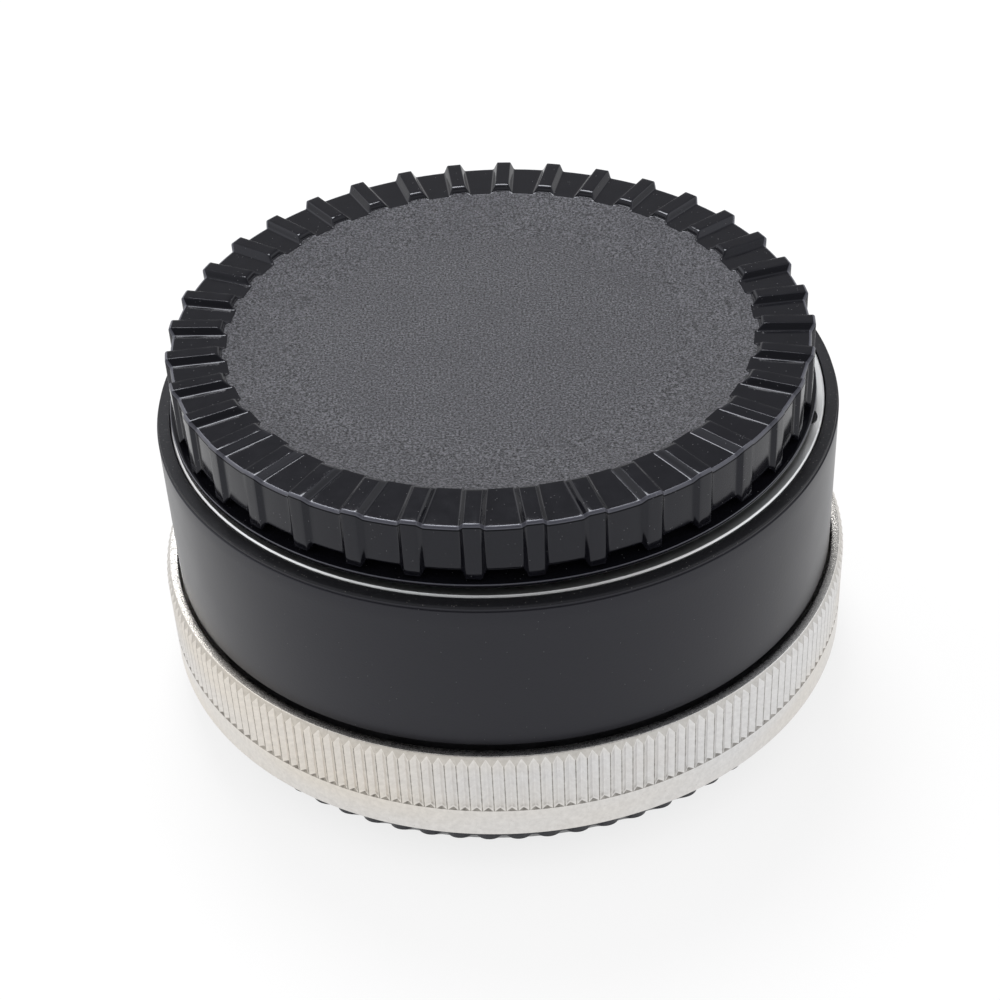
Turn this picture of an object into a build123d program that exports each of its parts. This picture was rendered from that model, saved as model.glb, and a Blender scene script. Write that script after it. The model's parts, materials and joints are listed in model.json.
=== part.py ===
from build123d import *
import os
from math import atan2, cos, degrees, radians, sin

# A camera teleconverter with a breech-lock mount, standing on its rear cap.
# +Z runs along the optical axis towards the lens, and z = 0 is the rear cap's underside.
# Angles are degrees round +Z from +X.

os.makedirs("parts", exist_ok=True)

full_turn = 360.0

# General clearances
overrun = 1.0
running = 0.05
face_gap = 0.1
wide_gap = 0.3
press = 0.02

# Heights of the stack, from the rear cap up
rear_cap_drop = 4.0
ring_height = 9.2
seat_depth = 3.6
plate_thickness = 1.7
web_thickness = 1.8
shoulder_height = 2.05
barrel_height = 15.6
flange_thickness = 1.55
lip_to_flange = 0.1
bayonet_height = 3.75

ring_rear_z = rear_cap_drop
ring_top_z = ring_rear_z + ring_height
seat_z = ring_rear_z + seat_depth
plate_top_z = seat_z + plate_thickness
web_low_z = plate_top_z + face_gap
web_top_z = web_low_z + web_thickness
shoulder_low_z = web_top_z + face_gap
shoulder_top_z = shoulder_low_z + shoulder_height
shell_low_z = shoulder_top_z + face_gap
lip_z = shell_low_z + barrel_height
flange_top_z = lip_z + lip_to_flange
flange_low_z = flange_top_z - flange_thickness
front_seat_z = flange_top_z + bayonet_height

# Mount sizes, the same on the lens side and the camera side
throat_r = 24.0
neck_wall = 1.7
lug_reach = 1.2
lug_clear = 0.25
neck_r = throat_r + neck_wall
lug_r = neck_r + lug_reach
lug_thickness = 1.5
lug_count = 3
lug_angle = 62.0
lug_clear_angle = 4.0
lug_centre = 22.0
lug_pitch = full_turn / lug_count
gap_angle = lug_pitch - lug_angle
gap_centre = lug_centre + lug_pitch / 2
edge_break = 0.15

# Main housing and barrel shell, from the throat outwards
housing_bore_step = 2.5
housing_wall = 2.5
shell_wall = 2.15
shell_step_gap = 0.05
shoulder_inset = 0.55
lip_width = 1.3
lip_inset = 0.15
lip_chamfer_height = 0.5
housing_bore_r = throat_r + housing_bore_step
housing_r = housing_bore_r + housing_wall
shell_r = housing_r + shell_wall
shoulder_r = shell_r - shoulder_inset
lip_r = shell_r - lip_inset
flange_r = shell_r - lip_width

# Main housing
housing_web_rise = 1.1
housing_web_low_z = plate_top_z + housing_web_rise
housing_web_thickness = 1.2
housing_web_top_z = housing_web_low_z + housing_web_thickness
baffle_thickness = 0.95
baffle_lap = 0.85
baffle_r = throat_r + baffle_lap
baffle_ledge = 0.8
baffle_seat_z = flange_low_z - baffle_thickness - shell_step_gap

# Breech ring
ring_gap = 0.7
ring_rim_wall = 1.2
ring_flat_inset = 0.4
ring_band_wall = 1.9
ring_bore_r = shoulder_r + ring_gap
ring_r = ring_bore_r + ring_rim_wall
ring_flat_outer_r = ring_r - ring_flat_inset
ring_top_chamfer = 0.8
ring_band_height = 2.95
ring_rear_chamfer = 0.15
knurl_count = 200
knurl_depth = 0.28
knurl_crest_share = 0.12
ring_turn = 55.0

# Lug ring inside the breech ring
bayonet_rim_wall = 1.7
bayonet_bore_clear = 0.3
housing_neck_lap = 0.35
bayonet_r = ring_r - ring_band_wall
bayonet_bore_r = lug_r + bayonet_bore_clear
bayonet_skirt_r = bayonet_r - bayonet_rim_wall
bayonet_lug_r = neck_r + lug_clear
housing_neck_r = bayonet_bore_r + housing_neck_lap
bayonet_lug_low = 0.45
bayonet_lug_height = 1.55

# Stop pin of the breech ring
stop_pin_r = 0.6
stop_pin_inset = 1.65
stop_pin_place_r = housing_neck_r + stop_pin_inset
stop_pin_angle = 270.0
stop_pin_reach = 0.9
stop_pin_seat = 1.3
stop_groove_margin = 1.0

# Screws
flange_screw_inset = 2.1
flange_screw_place_r = neck_r + flange_screw_inset
flange_screw_mid = 82.0
flange_screw_step = 97.5
flange_screw_head_r = 1.6
flange_screw_r = 0.85
flange_screw_length = 5.0
plate_screw_inset = 1.6
plate_screw_place_r = throat_r + plate_screw_inset
plate_screw_head_r = 1.1
plate_screw_r = 0.65
plate_screw_length = 3.7
plate_screw_count = 4
plate_screw_start = 45.0
bayonet_screw_place_r = (bayonet_skirt_r + bayonet_r) / 2
bayonet_screw_head_r = 0.72
bayonet_screw_r = 0.45
bayonet_screw_length = 6.7
bayonet_screw_start = 80.0
optics_screw_head_r = 0.85
optics_screw_r = 0.45
optics_screw_length = 1.9
optics_screw_start = 20.0
screw_sink = 0.08
slot_width_share = 0.28
slot_length_share = 1.3
slot_depth_share = 0.45

# Optics tube and its lenses
lever_space = 10.4
tube_wall = 2.9
tube_bore_r = throat_r - lever_space
tube_r = tube_bore_r + tube_wall
tube_rear_rise = 0.5
tube_front_rise = 0.35
tube_low_z = plate_top_z + tube_rear_rise
tube_top_z = flange_low_z + tube_front_rise
tube_flange_reach = 2.5
tube_flange_r = tube_r + tube_flange_reach
tube_flange_thickness = 1.0
optics_screw_place_r = (tube_r + tube_flange_r) / 2
tube_stop_reach = 1.2
tube_stop_r = tube_bore_r - tube_stop_reach
tube_stop_rise = 4.8
tube_stop_low_z = housing_web_top_z + tube_stop_rise
tube_stop_thickness = 0.8
tube_mouth_flare = 1.6
tube_mouth_r = tube_bore_r + tube_mouth_flare
lens_rim_width = 1.25
lens_r = tube_bore_r - running
lens_aperture_r = lens_r - lens_rim_width
front_lens_edge = 2.2
second_lens_edge = 2.4
third_lens_edge = 2.4
rear_lens_edge = 1.7
front_spacer_height = 2.2
rear_spacer_height = 1.4
front_retainer_height = 1.2
rear_retainer_height = 1.1
lens_1_sags = (-0.9, -0.6)
lens_2_sags = (0.8, 0.7)
lens_3_sags = (-0.5, -0.9)
lens_4_sags = (0.6, 0.5)
spanner_slot_width = 1.0
spanner_slot_depth = 0.5

# Lever rings
hub_wall = 2.1
hub_r = tube_r + hub_wall
hub_height = 2.5
hub_gap = 0.2
hub_washer_height = 0.5
hub_retainer_height = 0.8
hub_retainer_wall = 1.7
hub_retainer_r = tube_r + hub_retainer_wall
lever_stand_off = 1.5
lever_thickness = 1.1
lever_tip_reach = 0.7
lever_inner_r = hub_r + lever_stand_off
lever_outer_r = lever_inner_r + lever_thickness
lever_tip_r = lever_inner_r - lever_tip_reach
lever_tip_height = 1.6
lever_half_angle = 3.0
foot_half_angle = 3.6
foot_height = 2.0
slot_clear = 0.3
slot_clear_angle = 2.0
front_lever_drop = 1.9
rear_lever_reach = 5.7
front_lever_top_z = front_seat_z - front_lever_drop
rear_lever_low_z = seat_z - rear_lever_reach
stop_down_front_angle = -100.0
stop_down_rear_angle = -60.0
stop_down_turn = 20.0
signal_front_angle = 60.0
signal_rear_angle = 100.0
signal_turn = 35.0
lever_screw_r = 0.4
lever_screw_head_r = 0.7
lever_screw_head_height = 0.4
lever_screw_depth = 1.2

# Aperture pin and its spring
pin_angle = 200.0
pin_offset = 0.4
pin_place_r = (tube_flange_r + throat_r) / 2 + pin_offset
pin_r = 0.8
pin_front_drop = 2.0
pin_rear_reach = 1.4
pin_top_z = front_seat_z - pin_front_drop
pin_low_z = seat_z - pin_rear_reach
collar_r = 1.7
collar_height = 1.0
collar_rise = 3.0
spring_r = 1.25
spring_wire_r = 0.12
spring_turns = 5

# Front cap
cap_skirt_clear = 0.25
cap_collar_wall = 0.4
cap_panel_step = 0.5
cap_foot_step = 1.85
cap_skirt_r = lug_r + cap_skirt_clear
cap_collar_r = cap_skirt_r + cap_collar_wall
cap_panel_r = cap_collar_r + cap_panel_step
cap_foot_r = cap_collar_r + cap_foot_step
cap_low_gap = 0.6
cap_low_z = flange_top_z + cap_low_gap
cap_foot_height = 0.35
cap_panel_low = 1.1
cap_rib_low = 0.8
cap_under_rise = 0.4
cap_floor_thickness = 1.2
dish_depth = 0.85
cap_under_z = front_seat_z + cap_under_rise
cap_floor_z = cap_under_z + cap_floor_thickness
cap_top_z = cap_floor_z + dish_depth
cap_edge_bevel = 0.3
cap_rim_width = 4.45
dish_slope_width = 8.1
dish_r = cap_panel_r - cap_rim_width
dish_floor_r = dish_r - dish_slope_width
rib_count = 36
rib_phase = 5.6
rib_height = 0.68
rib_top_half_width = 0.64
rib_flare = 0.42
rib_inset = 0.5
rib_inner_r = dish_r + rib_inset
cap_lug_inner_r = neck_r + lug_clear
cap_lug_height = 1.3
cap_pad_inset = 0.3
cap_pad_inner_r = throat_r + cap_pad_inset
cap_pad_outer_r = lug_r - cap_pad_inset

# Rear cap
rear_cap_inset = 1.9
rear_rib_height = 0.5
rear_foot_inset = 1.4
rear_foot_width = 4.9
rear_panel_r = ring_r - rear_cap_inset
rear_rib_r = rear_panel_r + rear_rib_height
rear_foot_r = rear_panel_r - rear_foot_inset
rear_foot_recess_r = rear_foot_r - rear_foot_width
rear_rib_count = 72
rear_rib_half_width = 0.45
rear_rib_flare = 0.25
rear_rib_low = 1.6
rear_chamfer_height = 1.9
rear_floor = 1.0
rear_foot_recess = 0.3
rear_cap_gap = 0.35
rear_cap_clear = 0.2
rear_neck_r = bayonet_lug_r - rear_cap_gap
rear_lug_r = bayonet_bore_r - rear_cap_gap
rear_lug_height = 1.1

# Alignment dots
dot_r = 0.9
dot_depth = 0.45
dot_sink = 0.08
dot_angle = 90.0
barrel_dot_drop = 3.2
barrel_dot_z = lip_z - barrel_dot_drop
ring_dot_z = ring_rear_z + ring_band_height / 2


def save(piece, name):
    piece.label = name
    export_step(piece, f"parts/{name}.step")


def turned(points):
    """A solid turned round the optical axis from an outline of (radius, height) points."""
    with BuildPart() as piece:
        with BuildSketch(Plane.XZ):
            with BuildLine():
                Polyline(*points, close=True)
            make_face()
        revolve(axis=Axis.Z)
    return piece.part


def tube(outer_r, inner_r, low_z, high_z):
    return turned([(inner_r, low_z), (outer_r, low_z), (outer_r, high_z), (inner_r, high_z)])


def sector(inner_r, outer_r, middle, half_angle, low_z, high_z):
    """A piece of a flat ring, from low_z to high_z, half_angle each side of its middle."""
    with BuildPart() as piece:
        with BuildSketch(Plane.XY.offset(low_z)):
            with BuildLine():
                inner = CenterArc((0, 0), inner_r, middle - half_angle, 2 * half_angle)
                outer = CenterArc((0, 0), outer_r, middle - half_angle, 2 * half_angle)
                Line(inner @ 0, outer @ 0)
                Line(inner @ 1, outer @ 1)
            make_face()
        extrude(amount=high_z - low_z)
    return piece.part


def at_angle(radius, angle, z=0):
    return (radius * cos(radians(angle)), radius * sin(radians(angle)), z)


def upright(radius, angle, z):
    """A plane at a place on a circle, its normal up."""
    return Plane(origin=at_angle(radius, angle, z), x_dir=at_angle(1, angle), z_dir=(0, 0, 1))


def hanging(radius, angle, z):
    """A plane at a place on a circle, its normal down."""
    return Plane(origin=at_angle(radius, angle, z), x_dir=at_angle(1, angle), z_dir=(0, 0, -1))


def outward(radius, angle, z):
    """A plane that faces away from the optical axis."""
    return Plane(origin=at_angle(radius, angle, z), x_dir=at_angle(1, angle + 90), z_dir=at_angle(1, angle))


def rod(plane, radius, length):
    """A round bar that goes in, against the plane's normal."""
    with BuildPart() as piece:
        with BuildSketch(plane):
            Circle(radius)
        extrude(amount=-length)
    return piece.part


def countersunk(plane, head_r, shank_r, length):
    """The body of a countersunk screw, its head in the plane and its shank behind."""
    with BuildPart() as piece:
        with BuildSketch(plane):
            Circle(head_r)
        with BuildSketch(plane.offset(shank_r - head_r)):
            Circle(shank_r)
        loft()
        with BuildSketch(plane):
            Circle(shank_r)
        extrude(amount=-length)
    return piece.part


def countersunk_screw(plane, head_r, shank_r, length):
    """A countersunk screw with a cross slot, a little below the plane."""
    face = plane.offset(-screw_sink)
    with BuildPart() as piece:
        add(countersunk(face, head_r - screw_sink - press, shank_r - press, length - screw_sink))
        with BuildSketch(face):
            Rectangle(head_r * slot_length_share, head_r * slot_width_share)
            Rectangle(head_r * slot_width_share, head_r * slot_length_share)
        extrude(amount=-head_r * slot_depth_share, mode=Mode.SUBTRACT)
    return piece.part


def group(solids):
    return Compound(children=list(solids))


def lug_middles(first):
    return [first + lug_pitch * number for number in range(lug_count)]


# Places of the fasteners, shared by the screws and their holes
flange_screw_planes = [
    upright(flange_screw_place_r, flange_screw_mid + flange_screw_step * step, flange_top_z)
    for step in (-1, 0, 1)
]
plate_screw_planes = [
    hanging(plate_screw_place_r, plate_screw_start + full_turn / plate_screw_count * number, seat_z)
    for number in range(plate_screw_count)
]
bayonet_screw_planes = [
    hanging(bayonet_screw_place_r, angle, ring_rear_z) for angle in lug_middles(bayonet_screw_start)
]
optics_screw_planes = [
    hanging(optics_screw_place_r, angle, housing_web_low_z) for angle in lug_middles(optics_screw_start)
]


def lever_slots(low_z, high_z, levers):
    """Arc slots that let the levers through and turn by their full travel."""
    margin = lever_half_angle + slot_clear_angle
    return [
        sector(
            lever_tip_r - slot_clear,
            lever_outer_r + slot_clear,
            start + turn / 2,
            turn / 2 + margin,
            low_z - overrun,
            high_z + overrun,
        )
        for start, turn in levers
    ]


def barrel_shell():
    floor_z = flange_low_z - shell_step_gap
    inner_r = housing_r + running
    mouth_r = flange_r + face_gap
    outline = [
        (inner_r, shell_low_z),
        (shell_r - edge_break, shell_low_z),
        (shell_r, shell_low_z + edge_break),
        (shell_r, lip_z - lip_chamfer_height),
        (lip_r, lip_z - edge_break),
        (lip_r - edge_break / 2, lip_z),
        (mouth_r, lip_z),
        (mouth_r, floor_z),
        (inner_r, floor_z),
    ]
    with BuildPart() as piece:
        add(turned(outline))
        add(rod(outward(shell_r, dot_angle, barrel_dot_z), dot_r, dot_depth), mode=Mode.SUBTRACT)
    return piece.part


def main_housing():
    outline = [
        (throat_r, plate_top_z),
        (housing_neck_r, plate_top_z),
        (housing_neck_r, shoulder_low_z),
        (shoulder_r, shoulder_low_z),
        (shoulder_r, shoulder_top_z),
        (housing_r, shoulder_top_z),
        (housing_r, flange_low_z),
        (baffle_r + running, flange_low_z),
        (baffle_r + running, baffle_seat_z),
        (throat_r, baffle_seat_z),
        (throat_r, baffle_seat_z - baffle_ledge),
        (housing_bore_r, baffle_seat_z - baffle_ledge - (housing_bore_r - throat_r)),
        (housing_bore_r, housing_web_top_z),
        (tube_r + running, housing_web_top_z),
        (tube_r + running, housing_web_low_z),
        (throat_r, housing_web_low_z),
    ]
    rear_levers = [(stop_down_rear_angle, stop_down_turn), (signal_rear_angle, signal_turn)]
    stop_plane = hanging(stop_pin_place_r, stop_pin_angle, shoulder_low_z)
    with BuildPart() as piece:
        add(turned(outline))
        for slot in lever_slots(housing_web_low_z, housing_web_top_z, rear_levers):
            add(slot, mode=Mode.SUBTRACT)
        for plane in flange_screw_planes:
            add(rod(plane, flange_screw_r, flange_screw_length), mode=Mode.SUBTRACT)
        for plane in plate_screw_planes:
            add(rod(plane, plate_screw_r, plate_screw_length), mode=Mode.SUBTRACT)
        for plane in optics_screw_planes:
            seat = countersunk(plane, optics_screw_head_r, optics_screw_r, optics_screw_length)
            add(seat, mode=Mode.SUBTRACT)
        pin_hole = rod(
            upright(pin_place_r, pin_angle, housing_web_top_z + overrun),
            pin_r + running,
            housing_web_thickness + 2 * overrun,
        )
        add(pin_hole, mode=Mode.SUBTRACT)
        add(rod(stop_plane, stop_pin_r + press, stop_pin_seat), mode=Mode.SUBTRACT)
    return piece.part


def ring_stop_pin():
    return rod(
        hanging(stop_pin_place_r, stop_pin_angle, shoulder_low_z - face_gap - stop_pin_reach),
        stop_pin_r,
        stop_pin_seat + face_gap + stop_pin_reach,
    )


def front_flange():
    outline = [
        (throat_r, flange_low_z),
        (flange_r, flange_low_z),
        (flange_r, flange_top_z - edge_break),
        (flange_r - edge_break, flange_top_z),
        (neck_r, flange_top_z),
        (neck_r, front_seat_z),
        (throat_r + edge_break, front_seat_z),
        (throat_r, front_seat_z - edge_break),
    ]
    with BuildPart() as piece:
        add(turned(outline))
        for middle in lug_middles(lug_centre):
            add(
                sector(
                    throat_r + edge_break,
                    lug_r,
                    middle,
                    lug_angle / 2,
                    front_seat_z - lug_thickness,
                    front_seat_z,
                )
            )
        for plane in flange_screw_planes:
            add(
                countersunk(plane, flange_screw_head_r, flange_screw_r, flange_thickness + overrun),
                mode=Mode.SUBTRACT,
            )
    return piece.part


def front_baffle():
    front_levers = [(stop_down_front_angle, stop_down_turn), (signal_front_angle, signal_turn)]
    high_z = baffle_seat_z + baffle_thickness
    with BuildPart() as piece:
        add(tube(baffle_r, tube_r + face_gap, baffle_seat_z, high_z))
        for slot in lever_slots(baffle_seat_z, high_z, front_levers):
            add(slot, mode=Mode.SUBTRACT)
        pin_hole = rod(
            upright(pin_place_r, pin_angle, high_z + overrun), pin_r + running, baffle_thickness + 2 * overrun
        )
        add(pin_hole, mode=Mode.SUBTRACT)
    return piece.part


def rear_mount_plate():
    plate_r = bayonet_skirt_r - wide_gap
    seat_step = face_gap + edge_break
    outline = [
        (throat_r, seat_z + edge_break),
        (throat_r + edge_break, seat_z),
        (lug_r, seat_z),
        (lug_r, seat_z + seat_step),
        (plate_r, seat_z + seat_step),
        (plate_r, plate_top_z),
        (throat_r, plate_top_z),
    ]
    with BuildPart() as piece:
        add(turned(outline))
        for plane in plate_screw_planes:
            add(
                countersunk(plane, plate_screw_head_r, plate_screw_r, plate_thickness + overrun),
                mode=Mode.SUBTRACT,
            )
    return piece.part


def knurled_blank():
    """The ring's knurled wall: many wide grooves with narrow crests, from the band to the top."""
    pitch = full_turn / knurl_count
    crest_half = pitch * knurl_crest_share / 2
    root_r = ring_r - knurl_depth
    points = []
    for number in range(knurl_count):
        middle = pitch * number
        points.append(at_angle(ring_r, middle - crest_half)[:2])
        points.append(at_angle(ring_r, middle + crest_half)[:2])
        points.append(at_angle(root_r, middle + pitch / 2)[:2])
    with BuildPart() as piece:
        with BuildSketch(Plane.XY.offset(ring_rear_z + ring_band_height)):
            with BuildLine():
                Polyline(*points, close=True)
            make_face()
        extrude(amount=ring_height - ring_band_height)
    return piece.part


def breech_ring():
    band_top_z = ring_rear_z + ring_band_height
    crown = [
        (0, band_top_z),
        (ring_r, band_top_z),
        (ring_r, ring_top_z - ring_top_chamfer),
        (ring_flat_outer_r, ring_top_z),
        (0, ring_top_z),
    ]
    hollow = [
        (0, ring_rear_z - overrun),
        (bayonet_r + press, ring_rear_z - overrun),
        (bayonet_r + press, web_low_z),
        (housing_neck_r + running, web_low_z),
        (housing_neck_r + running, web_top_z),
        (ring_bore_r, web_top_z),
        (ring_bore_r, ring_top_z + overrun),
        (0, ring_top_z + overrun),
    ]
    band = [
        (0, ring_rear_z),
        (ring_r - ring_rear_chamfer, ring_rear_z),
        (ring_r, ring_rear_z + ring_rear_chamfer),
        (ring_r, band_top_z),
        (0, band_top_z),
    ]
    groove_half_r = stop_pin_r + wide_gap / 2
    groove_half_angle = ring_turn / 2 + stop_groove_margin + degrees(stop_pin_r / stop_pin_place_r)
    with BuildPart() as piece:
        add(knurled_blank())
        add(turned(crown), mode=Mode.INTERSECT)
        add(turned(band))
        add(turned(hollow), mode=Mode.SUBTRACT)
        add(
            sector(
                stop_pin_place_r - groove_half_r,
                stop_pin_place_r + groove_half_r,
                stop_pin_angle - ring_turn / 2,
                groove_half_angle,
                web_top_z - stop_pin_reach - face_gap,
                web_top_z + overrun,
            ),
            mode=Mode.SUBTRACT,
        )
        for plane in bayonet_screw_planes:
            add(rod(plane, bayonet_screw_r, bayonet_screw_length), mode=Mode.SUBTRACT)
        add(rod(outward(ring_r, dot_angle, ring_dot_z), dot_r, dot_depth), mode=Mode.SUBTRACT)
    return piece.part


def breech_bayonet():
    step_z = seat_z + face_gap
    outline = [
        (bayonet_bore_r + edge_break, ring_rear_z),
        (bayonet_r, ring_rear_z),
        (bayonet_r, web_low_z),
        (bayonet_skirt_r, web_low_z),
        (bayonet_skirt_r, step_z),
        (bayonet_bore_r, step_z),
        (bayonet_bore_r, ring_rear_z + edge_break),
    ]
    lug_low_z = ring_rear_z + bayonet_lug_low
    with BuildPart() as piece:
        add(turned(outline))
        for middle in lug_middles(gap_centre):
            add(
                sector(
                    bayonet_lug_r,
                    (bayonet_bore_r + bayonet_skirt_r) / 2,
                    middle,
                    (gap_angle - lug_clear_angle) / 2,
                    lug_low_z,
                    lug_low_z + bayonet_lug_height,
                )
            )
        for plane in bayonet_screw_planes:
            add(
                countersunk(plane, bayonet_screw_head_r, bayonet_screw_r, bayonet_screw_length),
                mode=Mode.SUBTRACT,
            )
    return piece.part


def optics_tube():
    flange_z = housing_web_top_z
    outline = [
        (tube_bore_r, tube_low_z),
        (tube_r, tube_low_z),
        (tube_r, flange_z),
        (tube_flange_r, flange_z),
        (tube_flange_r, flange_z + tube_flange_thickness),
        (tube_r, flange_z + tube_flange_thickness),
        (tube_r, tube_top_z),
        (tube_mouth_r, tube_top_z),
        (tube_bore_r, tube_top_z - 2 * (tube_mouth_r - tube_bore_r)),
        (tube_bore_r, tube_stop_low_z + tube_stop_thickness),
        (tube_stop_r, tube_stop_low_z + tube_stop_thickness),
        (tube_stop_r, tube_stop_low_z),
        (tube_bore_r, tube_stop_low_z),
    ]
    with BuildPart() as piece:
        add(turned(outline))
        for plane in optics_screw_planes:
            add(rod(plane, optics_screw_r, optics_screw_length), mode=Mode.SUBTRACT)
    return piece.part


def lens(low_z, edge, sags):
    """A glass element with a flat rim; each sag is how far a face stands out at its middle."""
    lower, upper = sags
    high_z = low_z + edge
    with BuildPart() as piece:
        with BuildSketch(Plane.XZ):
            with BuildLine():
                Line((0, low_z - lower), (0, high_z + upper))
                lens_face(high_z, upper)
                Line((lens_aperture_r, high_z), (lens_r, high_z))
                Line((lens_r, high_z), (lens_r, low_z))
                Line((lens_r, low_z), (lens_aperture_r, low_z))
                lens_face(low_z, -lower)
            make_face()
        revolve(axis=Axis.Z)
    return piece.part


def lens_face(rim_z, rise):
    """Half of a spherical face, from the optical axis to the edge of the clear aperture."""
    ball_r = (lens_aperture_r**2 + rise**2) / (2 * abs(rise))
    half = lens_aperture_r / 2
    drop = ball_r - (ball_r**2 - half**2) ** (1 / 2)
    side = 1 if rise > 0 else -1
    ThreePointArc((0, rim_z + rise), (half, rim_z + rise - side * drop), (lens_aperture_r, rim_z))


def retainer(low_z, height, outer_face_z):
    """A threaded ring with two spanner slots in its outer face."""
    with BuildPart() as piece:
        add(tube(tube_bore_r - press, lens_aperture_r, low_z, low_z + height))
        with BuildSketch(Plane.XY.offset(outer_face_z - spanner_slot_depth)):
            Rectangle(2 * tube_bore_r, spanner_slot_width)
        extrude(amount=2 * spanner_slot_depth, mode=Mode.SUBTRACT)
    return piece.part


def lever_ring(low_z, lever_angles):
    with BuildPart() as piece:
        add(tube(hub_r, tube_r + running, low_z, low_z + hub_height))
        for angle in lever_angles:
            add(
                rod(outward(hub_r, angle, low_z + hub_height / 2), lever_screw_r, lever_screw_depth),
                mode=Mode.SUBTRACT,
            )
    return piece.part


def lever(hub_low_z, angle, end_z):
    """A blade whose foot lies on a lever ring and whose tip reaches end_z."""
    middle_z = hub_low_z + hub_height / 2
    foot_low_z = middle_z - foot_height / 2
    foot_high_z = middle_z + foot_height / 2
    goes_up = end_z > middle_z
    arm = (foot_low_z, end_z) if goes_up else (end_z, foot_high_z)
    tip = (end_z - lever_tip_height, end_z) if goes_up else (end_z, end_z + lever_tip_height)
    with BuildPart() as piece:
        add(sector(hub_r, lever_outer_r, angle, foot_half_angle, foot_low_z, foot_high_z))
        add(sector(lever_inner_r, lever_outer_r, angle, lever_half_angle, *arm))
        add(sector(lever_tip_r, lever_outer_r, angle, lever_half_angle, *tip))
        add(
            rod(outward(lever_outer_r, angle, middle_z), lever_screw_r, lever_outer_r - hub_r + overrun),
            mode=Mode.SUBTRACT,
        )
        add(
            rod(outward(lever_outer_r, angle, middle_z), lever_screw_head_r, lever_screw_head_height),
            mode=Mode.SUBTRACT,
        )
    return piece.part


def lever_screw(hub_low_z, angle):
    face = outward(lever_outer_r, angle, hub_low_z + hub_height / 2)
    reach = lever_outer_r - hub_r + lever_screw_depth
    with BuildPart() as piece:
        add(rod(face.offset(-screw_sink), lever_screw_head_r - press, lever_screw_head_height - screw_sink))
        add(rod(face.offset(-screw_sink), lever_screw_r - press, reach - screw_sink))
        with BuildSketch(face.offset(-screw_sink)):
            Rectangle(2 * lever_screw_head_r, lever_screw_head_r * slot_width_share)
        extrude(amount=-lever_screw_head_height / 2, mode=Mode.SUBTRACT)
    return piece.part


def aperture_pin():
    collar_low_z = housing_web_top_z + collar_rise
    with BuildPart() as piece:
        add(rod(upright(pin_place_r, pin_angle, pin_top_z), pin_r, pin_top_z - pin_low_z))
        add(rod(upright(pin_place_r, pin_angle, collar_low_z + collar_height), collar_r, collar_height))
        fillet(piece.faces().sort_by(Axis.Z)[0].edges(), radius=pin_r / 2)
        fillet(piece.faces().sort_by(Axis.Z)[-1].edges(), radius=pin_r / 2)
    return piece.part


def pin_spring():
    """A compression spring between the housing's web and the pin's collar."""
    low_z = housing_web_top_z + spring_wire_r + press
    height = collar_rise - 2 * (spring_wire_r + press)
    middle = at_angle(pin_place_r, pin_angle, low_z)
    with BuildPart() as piece:
        with BuildLine():
            path = Helix(pitch=height / spring_turns, height=height, radius=spring_r, center=middle)
        with BuildSketch(Plane(origin=path @ 0, z_dir=path % 0)):
            Circle(spring_wire_r)
        sweep(path=path, is_frenet=True)
    return piece.part


def cap_rib(inner_r, outer_r, low_z, high_z, half_width, flare, rise):
    """One grip rib: a block along the radius whose sides flare out by as much as it stands proud."""
    slope = degrees(atan2(rise, flare))
    with BuildPart() as piece:
        with BuildSketch(Plane.XZ.offset(-half_width)):
            with Locations(((inner_r + outer_r) / 2, (low_z + high_z) / 2)):
                Rectangle(outer_r - inner_r, high_z - low_z)
        extrude(amount=2 * half_width)
        for side in (1, -1):
            with BuildSketch(Plane.XZ.offset(side * half_width)):
                with Locations(((inner_r + outer_r) / 2, (low_z + high_z) / 2)):
                    Rectangle(outer_r - inner_r, high_z - low_z)
            extrude(amount=side * flare, taper=slope)
    return piece.part


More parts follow.
